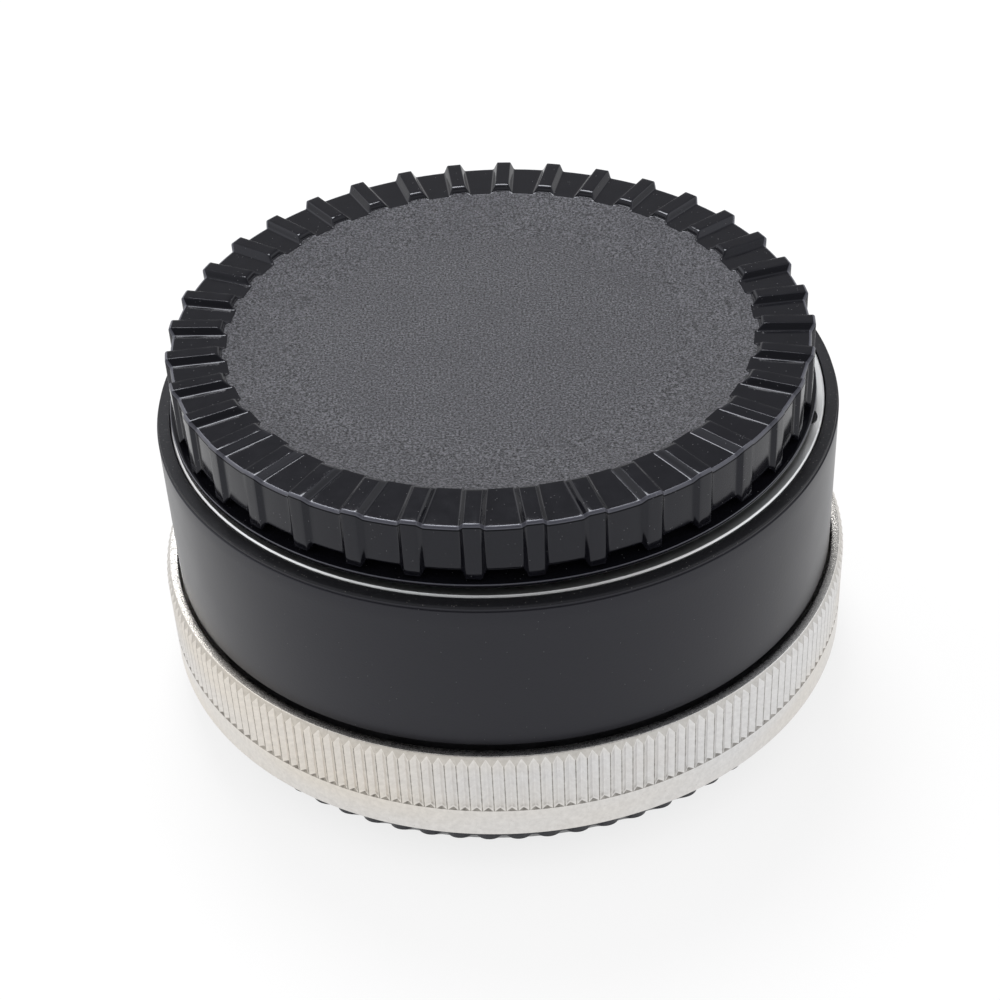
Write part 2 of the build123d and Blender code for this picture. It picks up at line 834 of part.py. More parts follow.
def front_cap():
    panel_low_z = cap_low_z + cap_panel_low
    rib_low_z = cap_low_z + cap_rib_low
    rib_r = cap_panel_r + rib_height
    foot_top_z = cap_low_z + cap_foot_height
    skin = [
        (cap_foot_r, cap_low_z),
        (cap_foot_r, foot_top_z),
        (cap_collar_r, foot_top_z),
        (cap_collar_r, panel_low_z),
        (cap_panel_r, panel_low_z),
        (cap_panel_r, cap_top_z - cap_edge_bevel),
        (cap_panel_r - cap_edge_bevel, cap_top_z),
        (0, cap_top_z),
        (0, cap_low_z),
    ]
    hollow = [
        (0, cap_low_z - overrun),
        (cap_skirt_r, cap_low_z - overrun),
        (cap_skirt_r, cap_under_z),
        (cap_pad_outer_r, cap_under_z),
        (cap_pad_outer_r, front_seat_z + face_gap),
        (cap_pad_inner_r, front_seat_z + face_gap),
        (cap_pad_inner_r, cap_under_z),
        (0, cap_under_z),
    ]
    rise = cap_top_z + rib_height - cap_floor_z
    rib_top_z = cap_top_z + rib_height
    rib = cap_rib(rib_inner_r, rib_r, rib_low_z, rib_top_z, rib_top_half_width, rib_flare, rib_height)
    with BuildPart() as piece:
        add(turned(skin))
        with PolarLocations(0, rib_count, start_angle=rib_phase):
            add(rib)
        add(turned(hollow), mode=Mode.SUBTRACT)
        with BuildSketch(Plane.XZ):
            with BuildLine():
                Line((0, cap_floor_z), (dish_floor_r, cap_floor_z))
                slope = TangentArc((dish_floor_r, cap_floor_z), (dish_r, cap_top_z), tangent=(1, 0))
                Line(slope @ 1, (dish_r, cap_floor_z + rise))
                Line((dish_r, cap_floor_z + rise), (0, cap_floor_z + rise))
                Line((0, cap_floor_z + rise), (0, cap_floor_z))
            make_face()
        revolve(axis=Axis.Z, mode=Mode.SUBTRACT)
        for middle in lug_middles(gap_centre):
            add(
                sector(
                    cap_lug_inner_r,
                    (cap_skirt_r + cap_collar_r) / 2,
                    middle,
                    (gap_angle - lug_clear_angle) / 2,
                    cap_low_z + face_gap,
                    cap_low_z + face_gap + cap_lug_height,
                )
            )
    return piece.part


def rear_cap():
    top_z = ring_rear_z - face_gap
    neck_top_z = seat_z - rear_cap_clear
    skin = [
        (0, rear_foot_recess),
        (rear_foot_recess_r, rear_foot_recess),
        (rear_foot_recess_r + rear_foot_recess, 0),
        (rear_foot_r, 0),
        (rear_panel_r, rear_chamfer_height),
        (rear_panel_r, top_z),
        (rear_neck_r, top_z),
        (rear_neck_r, neck_top_z),
        (throat_r, neck_top_z),
        (throat_r, rear_foot_recess + rear_floor),
        (0, rear_foot_recess + rear_floor),
    ]
    rib = cap_rib(
        (rear_neck_r + rear_foot_r) / 2,
        rear_rib_r,
        rear_rib_low,
        top_z,
        rear_rib_half_width,
        rear_rib_flare,
        rear_rib_height,
    )
    with BuildPart() as piece:
        add(turned(skin))
        with PolarLocations(0, rear_rib_count):
            add(rib)
        for middle in lug_middles(lug_centre):
            add(
                sector(
                    (throat_r + rear_neck_r) / 2,
                    rear_lug_r,
                    middle,
                    (lug_angle - lug_clear_angle) / 2,
                    neck_top_z - rear_lug_height,
                    neck_top_z,
                )
            )
    return piece.part


def index_dot(radius, z):
    return rod(outward(radius - dot_sink, dot_angle, z), dot_r - press, dot_depth - dot_sink)


# Lens stack, from the stop in the middle of the tube outwards
second_lens_z = tube_stop_low_z + tube_stop_thickness
front_spacer_z = second_lens_z + second_lens_edge
front_lens_z = front_spacer_z + front_spacer_height
front_retainer_z = front_lens_z + front_lens_edge
third_lens_z = tube_stop_low_z - third_lens_edge
rear_spacer_z = third_lens_z - rear_spacer_height
rear_lens_z = rear_spacer_z - rear_lens_edge
rear_retainer_z = rear_lens_z - rear_retainer_height

# Lever rings, from the tube's flange up
stop_down_z = housing_web_top_z + tube_flange_thickness + hub_gap
hub_washer_z = stop_down_z + hub_height + hub_gap
signal_z = hub_washer_z + hub_washer_height + hub_gap
hub_retainer_z = signal_z + hub_height + hub_gap
stop_down_angles = (stop_down_front_angle, stop_down_rear_angle)
signal_angles = (signal_front_angle, signal_rear_angle)

save(barrel_shell(), "barrel_shell")
save(main_housing(), "main_housing")
save(ring_stop_pin(), "ring_stop_pin")
save(front_flange(), "front_flange")
save(front_baffle(), "front_baffle")
save(rear_mount_plate(), "rear_mount_plate")
save(breech_ring(), "breech_ring")
save(breech_bayonet(), "breech_bayonet")
save(optics_tube(), "optics_tube")
save(front_cap(), "front_cap")
save(rear_cap(), "rear_cap")

save(
    group(
        countersunk_screw(plane, flange_screw_head_r, flange_screw_r, flange_screw_length)
        for plane in flange_screw_planes
    ),
    "front_flange_screws",
)
save(
    group(
        countersunk_screw(plane, plate_screw_head_r, plate_screw_r, plate_screw_length)
        for plane in plate_screw_planes
    ),
    "rear_mount_screws",
)
save(
    group(
        countersunk_screw(plane, bayonet_screw_head_r, bayonet_screw_r, bayonet_screw_length)
        for plane in bayonet_screw_planes
    ),
    "breech_bayonet_screws",
)
save(
    group(
        countersunk_screw(plane, optics_screw_head_r, optics_screw_r, optics_screw_length)
        for plane in optics_screw_planes
    ),
    "optics_screws",
)

save(lens(front_lens_z, front_lens_edge, lens_1_sags), "lens_1")
save(lens(second_lens_z, second_lens_edge, lens_2_sags), "lens_2")
save(lens(third_lens_z, third_lens_edge, lens_3_sags), "lens_3")
save(lens(rear_lens_z, rear_lens_edge, lens_4_sags), "lens_4")
save(
    tube(tube_bore_r - press, lens_aperture_r, front_spacer_z, front_spacer_z + front_spacer_height),
    "lens_spacer_front",
)
save(
    tube(tube_bore_r - press, lens_aperture_r, rear_spacer_z, rear_spacer_z + rear_spacer_height),
    "lens_spacer_rear",
)
save(
    retainer(front_retainer_z, front_retainer_height, front_retainer_z + front_retainer_height),
    "lens_retainer_front",
)
save(retainer(rear_retainer_z, rear_retainer_height, rear_retainer_z), "lens_retainer_rear")

save(lever_ring(stop_down_z, stop_down_angles), "stop_down_ring")
save(lever(stop_down_z, stop_down_front_angle, front_lever_top_z), "stop_down_front_lever")
save(lever(stop_down_z, stop_down_rear_angle, rear_lever_low_z), "stop_down_rear_lever")
save(group(lever_screw(stop_down_z, angle) for angle in stop_down_angles), "stop_down_screws")
save(tube(hub_r, tube_r + press, hub_washer_z, hub_washer_z + hub_washer_height), "hub_washer")
save(lever_ring(signal_z, signal_angles), "signal_ring")
save(lever(signal_z, signal_front_angle, front_lever_top_z), "signal_front_lever")
save(lever(signal_z, signal_rear_angle, rear_lever_low_z), "signal_rear_lever")
save(group(lever_screw(signal_z, angle) for angle in signal_angles), "signal_screws")
save(
    tube(hub_retainer_r, tube_r + press, hub_retainer_z, hub_retainer_z + hub_retainer_height),
    "hub_retainer",
)

save(aperture_pin(), "aperture_pin")
save(pin_spring(), "pin_spring")
save(index_dot(shell_r, barrel_dot_z), "barrel_index_dot")
save(index_dot(ring_r, ring_dot_z), "ring_index_dot")
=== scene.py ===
import json
from math import asin, cos, degrees, pi, radians, sin, tan

import bmesh
import bpy
from mathutils import Matrix, Vector


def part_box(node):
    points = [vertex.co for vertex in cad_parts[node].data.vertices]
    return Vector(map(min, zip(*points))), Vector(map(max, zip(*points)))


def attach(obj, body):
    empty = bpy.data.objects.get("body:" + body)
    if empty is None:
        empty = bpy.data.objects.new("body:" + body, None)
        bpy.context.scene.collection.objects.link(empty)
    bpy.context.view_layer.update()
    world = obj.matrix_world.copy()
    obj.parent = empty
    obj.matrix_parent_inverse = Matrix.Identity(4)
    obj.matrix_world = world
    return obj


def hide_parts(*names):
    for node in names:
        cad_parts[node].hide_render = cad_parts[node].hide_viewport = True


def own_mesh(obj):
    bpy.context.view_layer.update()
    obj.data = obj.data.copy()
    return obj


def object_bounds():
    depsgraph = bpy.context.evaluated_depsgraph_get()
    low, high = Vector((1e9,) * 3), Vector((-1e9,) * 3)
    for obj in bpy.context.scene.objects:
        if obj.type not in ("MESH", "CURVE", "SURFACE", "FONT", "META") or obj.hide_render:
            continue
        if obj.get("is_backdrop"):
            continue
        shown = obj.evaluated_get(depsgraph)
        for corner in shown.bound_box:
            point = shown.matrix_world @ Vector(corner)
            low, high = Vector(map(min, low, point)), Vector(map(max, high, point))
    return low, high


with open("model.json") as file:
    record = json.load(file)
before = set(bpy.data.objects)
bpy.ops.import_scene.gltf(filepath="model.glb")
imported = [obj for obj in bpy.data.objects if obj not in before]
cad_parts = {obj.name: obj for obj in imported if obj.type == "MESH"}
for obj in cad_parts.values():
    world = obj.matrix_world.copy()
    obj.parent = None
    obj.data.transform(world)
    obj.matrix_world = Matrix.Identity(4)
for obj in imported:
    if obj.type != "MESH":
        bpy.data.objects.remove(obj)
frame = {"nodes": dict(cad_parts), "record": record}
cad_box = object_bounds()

# A breech-lock camera teleconverter, standing on its rear cap.
# Sizes are millimetres where a name doesn't say otherwise, and MM turns them into metres.
# Angles are degrees round +Z from +X, and the side that the camera sees is at -90.
MM = 0.001


def high(node):
    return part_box(node)[1] / MM


def low(node):
    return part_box(node)[0] / MM


# Sizes read from the frame
SHELL_R = high("barrel_shell").x
SHELL_LOW = low("barrel_shell").z
LIP_Z = high("barrel_shell").z
RING_R = high("breech_ring").x
RING_LOW = low("breech_ring").z
RING_TOP = high("breech_ring").z
CAP_LOW = low("front_cap").z
CAP_RIB_TOP = high("front_cap").z
REAR_TOP = high("rear_cap").z
BARREL_DOT_Z = (high("barrel_index_dot").z + low("barrel_index_dot").z) / 2
RING_DOT_Z = (high("ring_index_dot").z + low("ring_index_dot").z) / 2

# The cap's underside over the flange, and the top of the ring's web over the housing's foot
CAP_UNDER_RISE = 0.4
WEB_RISE = 1.9
CAP_UNDER = high("front_flange").z + CAP_UNDER_RISE
WEB_TOP = low("main_housing").z + WEB_RISE

# Holes of the two index dots, on the side away from the camera
DOT_R = 0.9
DOT_DEPTH = 0.45
DOT_STEPS = 48

# Three lugs of the bayonet and the gaps between them
LUG_PITCH = 120.0
LUG_CENTRE = 22.0
GAP_CENTRE = LUG_CENTRE + LUG_PITCH / 2
REAR_LUG_HALF = 29.0
CAP_LUG_HALF = 27.0


# Meshes


def arc(centre, radius, start, end, steps):
    """Points (r, z) along an arc, both ends included."""
    angles = [radians(start + (end - start) * step / steps) for step in range(steps + 1)]
    return [(centre[0] + radius * cos(a), centre[1] + radius * sin(a)) for a in angles]


def rounded(corners, steps=4):
    """A closed outline from corners (r, z, bend), each rounded to the radius `bend`."""
    points = []
    for index, (r, z, bend) in enumerate(corners):
        before = Vector(corners[index - 1][:2]) - Vector((r, z))
        after = Vector(corners[(index + 1) % len(corners)][:2]) - Vector((r, z))
        if not bend:
            points.append((r, z))
            continue
        before.normalize()
        after.normalize()
        half = before.angle(after) / 2
        middle = (before + after).normalized()
        centre = Vector((r, z)) + middle * bend / sin(half)
        start = Vector((r, z)) + before * bend / tan(half) - centre
        end = Vector((r, z)) + after * bend / tan(half) - centre
        for step in range(steps + 1):
            spoke = (start * (steps - step) + end * step).normalized() * bend
            points.append(tuple(centre + spoke))
    return points


def rows_mesh(name, rows, closed=False, finish=None):
    """An object from rows of points in millimetres, joined round each row and from row to row.

    A row of one point is a pole. `finish` gives the material number of the faces above a row.
    """
    vertices, faces, numbers, starts = [], [], [], []
    for row in rows:
        starts.append(len(vertices))
        vertices.extend(Vector(point) * MM for point in row)
    spans = len(rows) if closed else len(rows) - 1
    for number in range(spans):
        lower, upper = rows[number], rows[(number + 1) % len(rows)]
        a, b = starts[number], starts[(number + 1) % len(rows)]
        count = max(len(lower), len(upper))
        for column in range(count):
            after = (column + 1) % count
            if len(lower) == 1:
                faces.append((a, b + after, b + column))
            elif len(upper) == 1:
                faces.append((a + column, a + after, b))
            else:
                faces.append((a + column, a + after, b + after, b + column))
            numbers.append(finish(number, column) if finish else 0)
    mesh = bpy.data.meshes.new(name)
    mesh.from_pydata(vertices, [], faces)
    mesh.polygons.foreach_set("material_index", numbers)
    piece = bpy.data.objects.new(name, mesh)
    bpy.context.scene.collection.objects.link(piece)
    edit = bmesh.new()
    edit.from_mesh(mesh)
    bmesh.ops.recalc_face_normals(edit, faces=edit.faces)
    for face in edit.faces:
        face.smooth = True
    edit.to_mesh(mesh)
    edit.free()
    return piece


def even_normals(piece):
    """Shades large faces flat and lets the small faces at the edges carry the bend."""
    modifier = piece.modifiers.new("even_normals", "WEIGHTED_NORMAL")
    modifier.weight = 100
    return piece


def round_row(radius, height, angles):
    return [(radius * cos(radians(a)), radius * sin(radians(a)), height) for a in angles]


def turned(name, outline, columns, finish=None):
    """A ring turned from a closed outline of (r, z) points."""
    angles = [360.0 * number / columns for number in range(columns)]
    rows = [round_row(r, z, angles) for r, z in outline]
    return rows_mesh(name, rows, closed=True, finish=finish)


def bake_modifiers(piece):
    shown = piece.evaluated_get(bpy.context.evaluated_depsgraph_get())
    mesh = bpy.data.meshes.new_from_object(shown)
    piece.modifiers.clear()
    piece.data = mesh


def drill(piece, radius, height):
    """Cuts the flat-bottomed hole of an index dot into a ring."""
    circle = [2 * pi * step / DOT_STEPS for step in range(DOT_STEPS)]
    ends = (radius - DOT_DEPTH, radius + DOT_DEPTH)
    rows = [[(DOT_R * cos(a), out, height + DOT_R * sin(a)) for a in circle] for out in ends]
    poles = [[(0, out, height)] for out in ends]
    cutter = rows_mesh("cutter", [poles[0], *rows, poles[1]])
    modifier = piece.modifiers.new("hole", "BOOLEAN")
    modifier.object = cutter
    modifier.solver = "EXACT"
    bpy.context.view_layer.update()
    bake_modifiers(piece)
    bpy.data.objects.remove(cutter)


def near(angle, middle, half, blur):
    """1 within `half` degrees of the nearest of three places, 0 outside, with a ramp of `blur`."""
    away = abs((angle - middle + LUG_PITCH / 2) % LUG_PITCH - LUG_PITCH / 2)
    return min(1.0, max(0.0, (half + blur / 2 - away) / blur))


# Front cap: one skin runs from the dish over the rim and down the skirt, with ribs raised on it
RIB_COUNT = 36
RIB_PHASE = 5.6
RIB_HEIGHT = 0.58
RIB_REACH = 0.38
RIB_PROFILE = (  # distance from the rib's middle, share of the rib's height
    (0.0, 1.0),
    (0.3, 1.0),
    (0.6, 1.0),
    (0.635, 0.985),
    (0.66, 0.95),
    (0.7, 0.87),
    (0.8, 0.62),
    (0.9, 0.37),
    (0.96, 0.21),
    (0.99, 0.14),
    (1.03, 0.075),
    (1.09, 0.025),
    (1.17, 0.0),
)
PANEL_COLUMNS = 7
RIM_BEND = 0.24
RIM_LINE = 0.15
RIM_MARGIN = 0.25
FOOT_BEND = 0.07
CAP_TOP = CAP_RIB_TOP - RIB_HEIGHT
CAP_FLOOR = CAP_TOP - 0.85
CAP_FOOT_R = high("front_cap").x
CAP_FOOT_TOP = CAP_LOW + 0.35
COLLAR_R = CAP_FOOT_R - 1.85
PANEL_R = COLLAR_R + 1.15
PANEL_LOW = CAP_LOW + 1.35
RIB_LOW = CAP_LOW + 0.65
SKIRT_R = COLLAR_R - 0.3
DISH_R = 23.7
DISH_FLAT_R = 15.6
RIB_END = (  # radius where the plate has it, further out at the rib, height at the rib
    (23.75, 0.45, 0.08),
    (23.8, 0.42, 0.13),
    (23.85, 0.4, 0.4),
    (23.9, 0.42, 0.48),
    (24.0, 0.5, 0.56),
    (24.15, 0.5, 0.58),
)
PLATE_ROWS = (25.0, 26.4)
CAP_LUG_RAMP = 0.6
CAP_LUG_ROWS = ((0.12, 0.0), (0.14, 1.1), (1.38, 1.1), (1.4, 0.0))  # height over the foot, reach
CAP_UNDERSIDE = (  # radius, drop: the skirt's corner, a pad over the flange, the middle
    (SKIRT_R, 0.3),
    (SKIRT_R - 0.3, 0.0),
    (26.6, 0.0),
    (26.6, 0.25),
    (26.55, 0.3),
    (24.35, 0.3),
    (24.3, 0.25),
    (24.3, 0.0),
    (20.0, 0.0),
    (8.0, 0.0),
    (1.6, 0.0),
)
CAP_PLAY = (-0.34, -0.08)  # the cap sits against one side of its clearance


def cap_columns(radius):
    """Angles round the cap and the share of a rib's height at each, for a row at that radius."""
    columns = []
    offsets = [(-w, share) for w, share in reversed(RIB_PROFILE[1:])] + list(RIB_PROFILE)
    pitch = 360.0 / RIB_COUNT
    edge = degrees(asin(min(0.9, RIB_PROFILE[-1][0] / radius)))
    for rib in range(RIB_COUNT):
        middle = RIB_PHASE + rib * pitch
        for offset, share in offsets:
            columns.append((middle + degrees(asin(offset / radius)), share))
        gap = pitch - 2 * edge
        for step in range(1, PANEL_COLUMNS + 1):
            columns.append((middle + edge + gap * step / (PANEL_COLUMNS + 1), 0.0))
    return columns


def cap_point(radius, angle, height):
    x, y = radius * cos(radians(angle)), radius * sin(radians(angle))
    return (CAP_PLAY[0] + x, CAP_PLAY[1] + y, height)


def cap_row(radius, height, out=0.0, up=0.0):
    """One row of the cap's skin; ribs move it by `out` and `up`."""
    columns = cap_columns(max(radius, DISH_FLAT_R))
    return [cap_point(radius + out * share, angle, height + up * share) for angle, share in columns]


def lug_row(height, inward):
    """A row of the skirt's inside, further in at the three lugs."""
    row = []
    for angle, _ in cap_columns(SKIRT_R):
        lug = near(angle, GAP_CENTRE, CAP_LUG_HALF, CAP_LUG_RAMP)
        row.append(cap_point(SKIRT_R - inward * lug, angle, height))
    return row


def front_cap():
    rise = CAP_TOP - CAP_FLOOR
    run = DISH_R - DISH_FLAT_R
    dish_bend = (run**2 + rise**2) / (2 * rise)
    slope_angle = degrees(asin(run / dish_bend))
    rows = [[(0, 0, CAP_FLOOR)]]
    rows += [cap_row(DISH_FLAT_R * share, CAP_FLOOR) for share in (0.1, 0.35, 0.6, 0.85)]
    slope = arc((DISH_FLAT_R, CAP_FLOOR + dish_bend), dish_bend, -90, -90 + slope_angle, 14)
    rows += [cap_row(r, z) for r, z in slope[:-1]]
    dish_rows = len(rows)
    rows.append(cap_row(DISH_R - 0.05, CAP_TOP - 0.02, out=0.42, up=0.07))
    rows += [cap_row(r, CAP_TOP, out, up) for r, out, up in RIB_END]
    plate = (*PLATE_ROWS, PANEL_R - RIM_BEND - RIM_MARGIN)
    rows += [cap_row(r, CAP_TOP, up=RIB_HEIGHT) for r in plate]
    rim = arc((PANEL_R - RIM_BEND, CAP_TOP - RIM_BEND), RIM_BEND, 90, 0, 8)
    rim_rows = range(len(rows), len(rows) + len(rim) - 1)
    rows += [cap_row(r, z, RIB_REACH, RIB_HEIGHT) for r, z in rim]
    line = len(rows) - 1
    rows.append(cap_row(PANEL_R, CAP_TOP - RIM_BEND - RIM_LINE, RIB_REACH, RIB_HEIGHT))
    skirt_top = CAP_TOP - RIM_BEND - RIM_MARGIN
    foot = PANEL_LOW - RIB_LOW
    for share in (0.0, 0.33, 0.66, 1.0):
        z = skirt_top + (PANEL_LOW + 0.2 - skirt_top) * share
        rows.append(cap_row(PANEL_R, z, out=RIB_REACH))
    hem = arc((PANEL_R - FOOT_BEND, PANEL_LOW + FOOT_BEND), FOOT_BEND, 0, -90, 3)
    rows += [cap_row(r, z, RIB_REACH, -foot) for r, z in hem]
    rows.append(cap_row(COLLAR_R + 0.05, PANEL_LOW, up=-foot))
    rows.append(cap_row(COLLAR_R, PANEL_LOW - 0.05, up=-foot))
    rows += [cap_row(r, z) for r, z in arc((COLLAR_R + 0.1, CAP_FOOT_TOP + 0.1), 0.1, 180, 270, 2)]
    rows.append(cap_row(CAP_FOOT_R - 0.3, CAP_FOOT_TOP))
    edge = arc((CAP_FOOT_R - FOOT_BEND, CAP_FOOT_TOP - FOOT_BEND), FOOT_BEND, 90, 0, 3)
    edge_rows = range(len(rows), len(rows) + len(edge) - 1)
    rows += [cap_row(r, z) for r, z in edge]
    rows += [cap_row(r, z) for r, z in arc((CAP_FOOT_R - 0.05, CAP_LOW + 0.05), 0.05, 0, -90, 2)]
    outside = len(rows)
    rows += [cap_row(r, z) for r, z in arc((SKIRT_R + 0.1, CAP_LOW + 0.1), 0.1, -90, -180, 3)]
    rows += [lug_row(CAP_LOW + up, inward) for up, inward in CAP_LUG_ROWS]
    rows += [cap_row(r, CAP_UNDER - drop) for r, drop in CAP_UNDERSIDE]
    rows.append([(0, 0, CAP_UNDER)])

    def finish(number, column):
        # The row just under the rim gets the painted shadow line.
        if number == line:
            return 4
        # Rim and foot edges get the glossy finish whose lighter grey is a painted highlight.
        if number in rim_rows or number in edge_rows:
            return 3
        if number < dish_rows:
            return 0
        return 1 if number < outside else 2

    return even_normals(rows_mesh("front_cap_skin", rows, finish=finish))


# Rear cap: a shallow cup whose grip is a fine row of ribs under the ring
REAR_RIB_COUNT = 72
REAR_PANEL_R = RING_R - 1.9
REAR_RIB_HEIGHT = 0.5
REAR_FOOT_R = REAR_PANEL_R - 1.4
REAR_RECESS_R = REAR_FOOT_R - 4.9
REAR_SHOULDER_Z = RING_LOW - 0.1
REAR_CHAMFER_Z = 1.9
REAR_NECK_R = 25.6
REAR_BORE_R = 24.0
REAR_FLOOR_Z = 1.3
REAR_RECESS_Z = 0.3
REAR_RECESS_EDGE = ((0.05, 0.22), (0.25, 0.05), (0.4, 0.0))  # further out, height
REAR_CHAMFER = ((0.3, 0.25), (0.6, 0.6), (0.85, 0.9), (1.0, 1.0))  # share of the way, of a rib
REAR_LUG_ROWS = ((-1.12, 0.0), (-1.1, 1.25), (-0.08, 1.25), (0.0, 1.17))  # height, reach
REAR_LUG_RAMP = 0.8
REAR_COLUMNS = 12


def rear_rib(angle):
    """Share of the grip's height at an angle: rounded ribs with flat valleys."""
    pitch = 360.0 / REAR_RIB_COUNT
    away = abs((angle + pitch / 2) % pitch - pitch / 2) / pitch
    return max(0.0, cos(min(away / 0.36, 1.0) * pi / 2)) ** 0.5


def rear_row(radius, height, out=0.0, lug=0.0):
    row = []
    count = REAR_RIB_COUNT * REAR_COLUMNS
    for number in range(count):
        angle = 360.0 * number / count
        on_lug = near(angle, LUG_CENTRE, REAR_LUG_HALF, REAR_LUG_RAMP)
        r = radius + out * rear_rib(angle) + lug * on_lug
        row.append((r * cos(radians(angle)), r * sin(radians(angle)), height))
    return row


def rear_cap():
    rows = [[(0, 0, REAR_RECESS_Z)]]
    rows += [rear_row(r, REAR_RECESS_Z) for r in (3.0, 12.0, REAR_RECESS_R - 0.1)]
    rows += [rear_row(REAR_RECESS_R + out, z) for out, z in REAR_RECESS_EDGE]
    rows += [rear_row(REAR_FOOT_R - 0.15, 0.0), rear_row(REAR_FOOT_R, 0.04)]
    for share, out in REAR_CHAMFER:
        r = REAR_FOOT_R + (REAR_PANEL_R - REAR_FOOT_R) * share
        rows.append(rear_row(r, REAR_CHAMFER_Z * share, REAR_RIB_HEIGHT * out))
    rows.append(rear_row(REAR_PANEL_R, REAR_SHOULDER_Z - 0.25, REAR_RIB_HEIGHT))
    rows.append(rear_row(REAR_PANEL_R - 0.03, REAR_SHOULDER_Z - 0.06, REAR_RIB_HEIGHT))
    rows.append(rear_row(REAR_PANEL_R - 0.12, REAR_SHOULDER_Z, REAR_RIB_HEIGHT))
    rows += [rear_row(r, REAR_SHOULDER_Z) for r in (REAR_PANEL_R - 1.2, REAR_NECK_R + 0.15)]
    rows.append(rear_row(REAR_NECK_R, REAR_SHOULDER_Z + 0.15))
    rows += [rear_row(REAR_NECK_R, REAR_TOP + z, lug=out) for z, out in REAR_LUG_ROWS]
    rows += [rear_row(REAR_NECK_R - 0.2, REAR_TOP), rear_row(REAR_BORE_R + 0.1, REAR_TOP)]
    rows += [rear_row(REAR_BORE_R, REAR_TOP - 0.1), rear_row(REAR_BORE_R, REAR_FLOOR_Z + 0.4)]
    corner = arc((REAR_BORE_R - 0.4, REAR_FLOOR_Z + 0.4), 0.4, 0, -90, 4)
    rows += [rear_row(r, z) for r, z in corner]
    rows += [rear_row(r, REAR_FLOOR_Z) for r in (18.0, 9.0, 2.0)]
    rows.append([(0, 0, REAR_FLOOR_Z)])
    return even_normals(rows_mesh("rear_cap_skin", rows))


# Barrel shell: a plain sleeve with a small step under its flat lip
SHELL_COLUMNS = 720
SHELL_BORE_R = SHELL_R - 2.1
STEP_R = SHELL_R - 0.13
LIP_R = SHELL_R - 0.15
LIP_STEP = 0.5
DOT_MARGIN = 0.15
MOUTH_R = high("front_flange").x + 0.1
MOUTH_Z = low("front_flange").z - 0.05


def barrel_shell():
    corners = [
        (SHELL_BORE_R, SHELL_LOW, 0.1),
        (SHELL_R - 0.26, SHELL_LOW, 0.0),
        (SHELL_R, SHELL_LOW + 0.24, 0.12),
        (SHELL_R, BARREL_DOT_Z - DOT_R - DOT_MARGIN, 0.0),
        (SHELL_R, BARREL_DOT_Z + DOT_R + DOT_MARGIN, 0.0),
        (SHELL_R, LIP_Z - LIP_STEP, 0.06),
        (STEP_R, LIP_Z - LIP_STEP + 0.02, 0.02),
        (STEP_R, LIP_Z - 0.24, 0.02),
        (LIP_R, LIP_Z - 0.2, 0.03),
        (LIP_R, LIP_Z, 0.09),
        (MOUTH_R, LIP_Z, 0.06),
        (MOUTH_R, MOUTH_Z, 0.05),
        (SHELL_BORE_R, MOUTH_Z, 0.05),
    ]
    outline = rounded(corners)
    on_lip = [z > LIP_Z - 0.3 and r > MOUTH_R + 0.04 for r, z in outline]
    lip = [number for number, inside in enumerate(on_lip) if inside]

    def finish(number, column):
        return 1 if number in lip[:-1] else 0

    shell = turned("barrel_shell_skin", outline, SHELL_COLUMNS, finish)
    drill(shell, SHELL_R, BARREL_DOT_Z)
    return even_normals(shell)


# Breech ring: knurled grooves between narrow crests, cut off above by a cone
TEETH = 200
KNURL_DEPTH = 0.28
KNURL_LOW = RING_LOW + 2.95
LEDGE_SLOPE = 0.45
LEDGE_RISE = 0.05
WALL_ROWS = (0.06, 0.35, 0.65, 0.94, 1.0)
FLAT_R = RING_R - 0.4
CONE_HEIGHT = 0.8
RING_BORE_R = RING_R - 1.2
RING_HOLLOW_R = RING_R - 1.88
WEB_R = 27.6
WEB_LOW = WEB_TOP - 1.8
GROOVE_IN = 28.45
GROOVE_OUT = 29.95
GROOVE_DEPTH = 1.0
GROOVE_MIDDLE = 242.5
GROOVE_HALF = 30.0
GROOVE_RAMP = 1.2
TOOTH = (  # share of the pitch from a crest's middle, share of the groove's depth
    (0.0, 0.0),
    (0.05, 0.0),
    (0.075, 0.03),
    (0.2, 0.33),
    (0.34, 0.68),
    (0.46, 0.96),
    (0.5, 1.0),
)


def tooth_columns():
    columns = []
    pitch = 360.0 / TEETH
    profile = list(TOOTH) + [(1 - place, depth) for place, depth in reversed(TOOTH[1:-1])]
    for tooth in range(TEETH):
        for place, depth in profile:
            columns.append((pitch * (tooth + place), depth))
    return columns, len(profile)


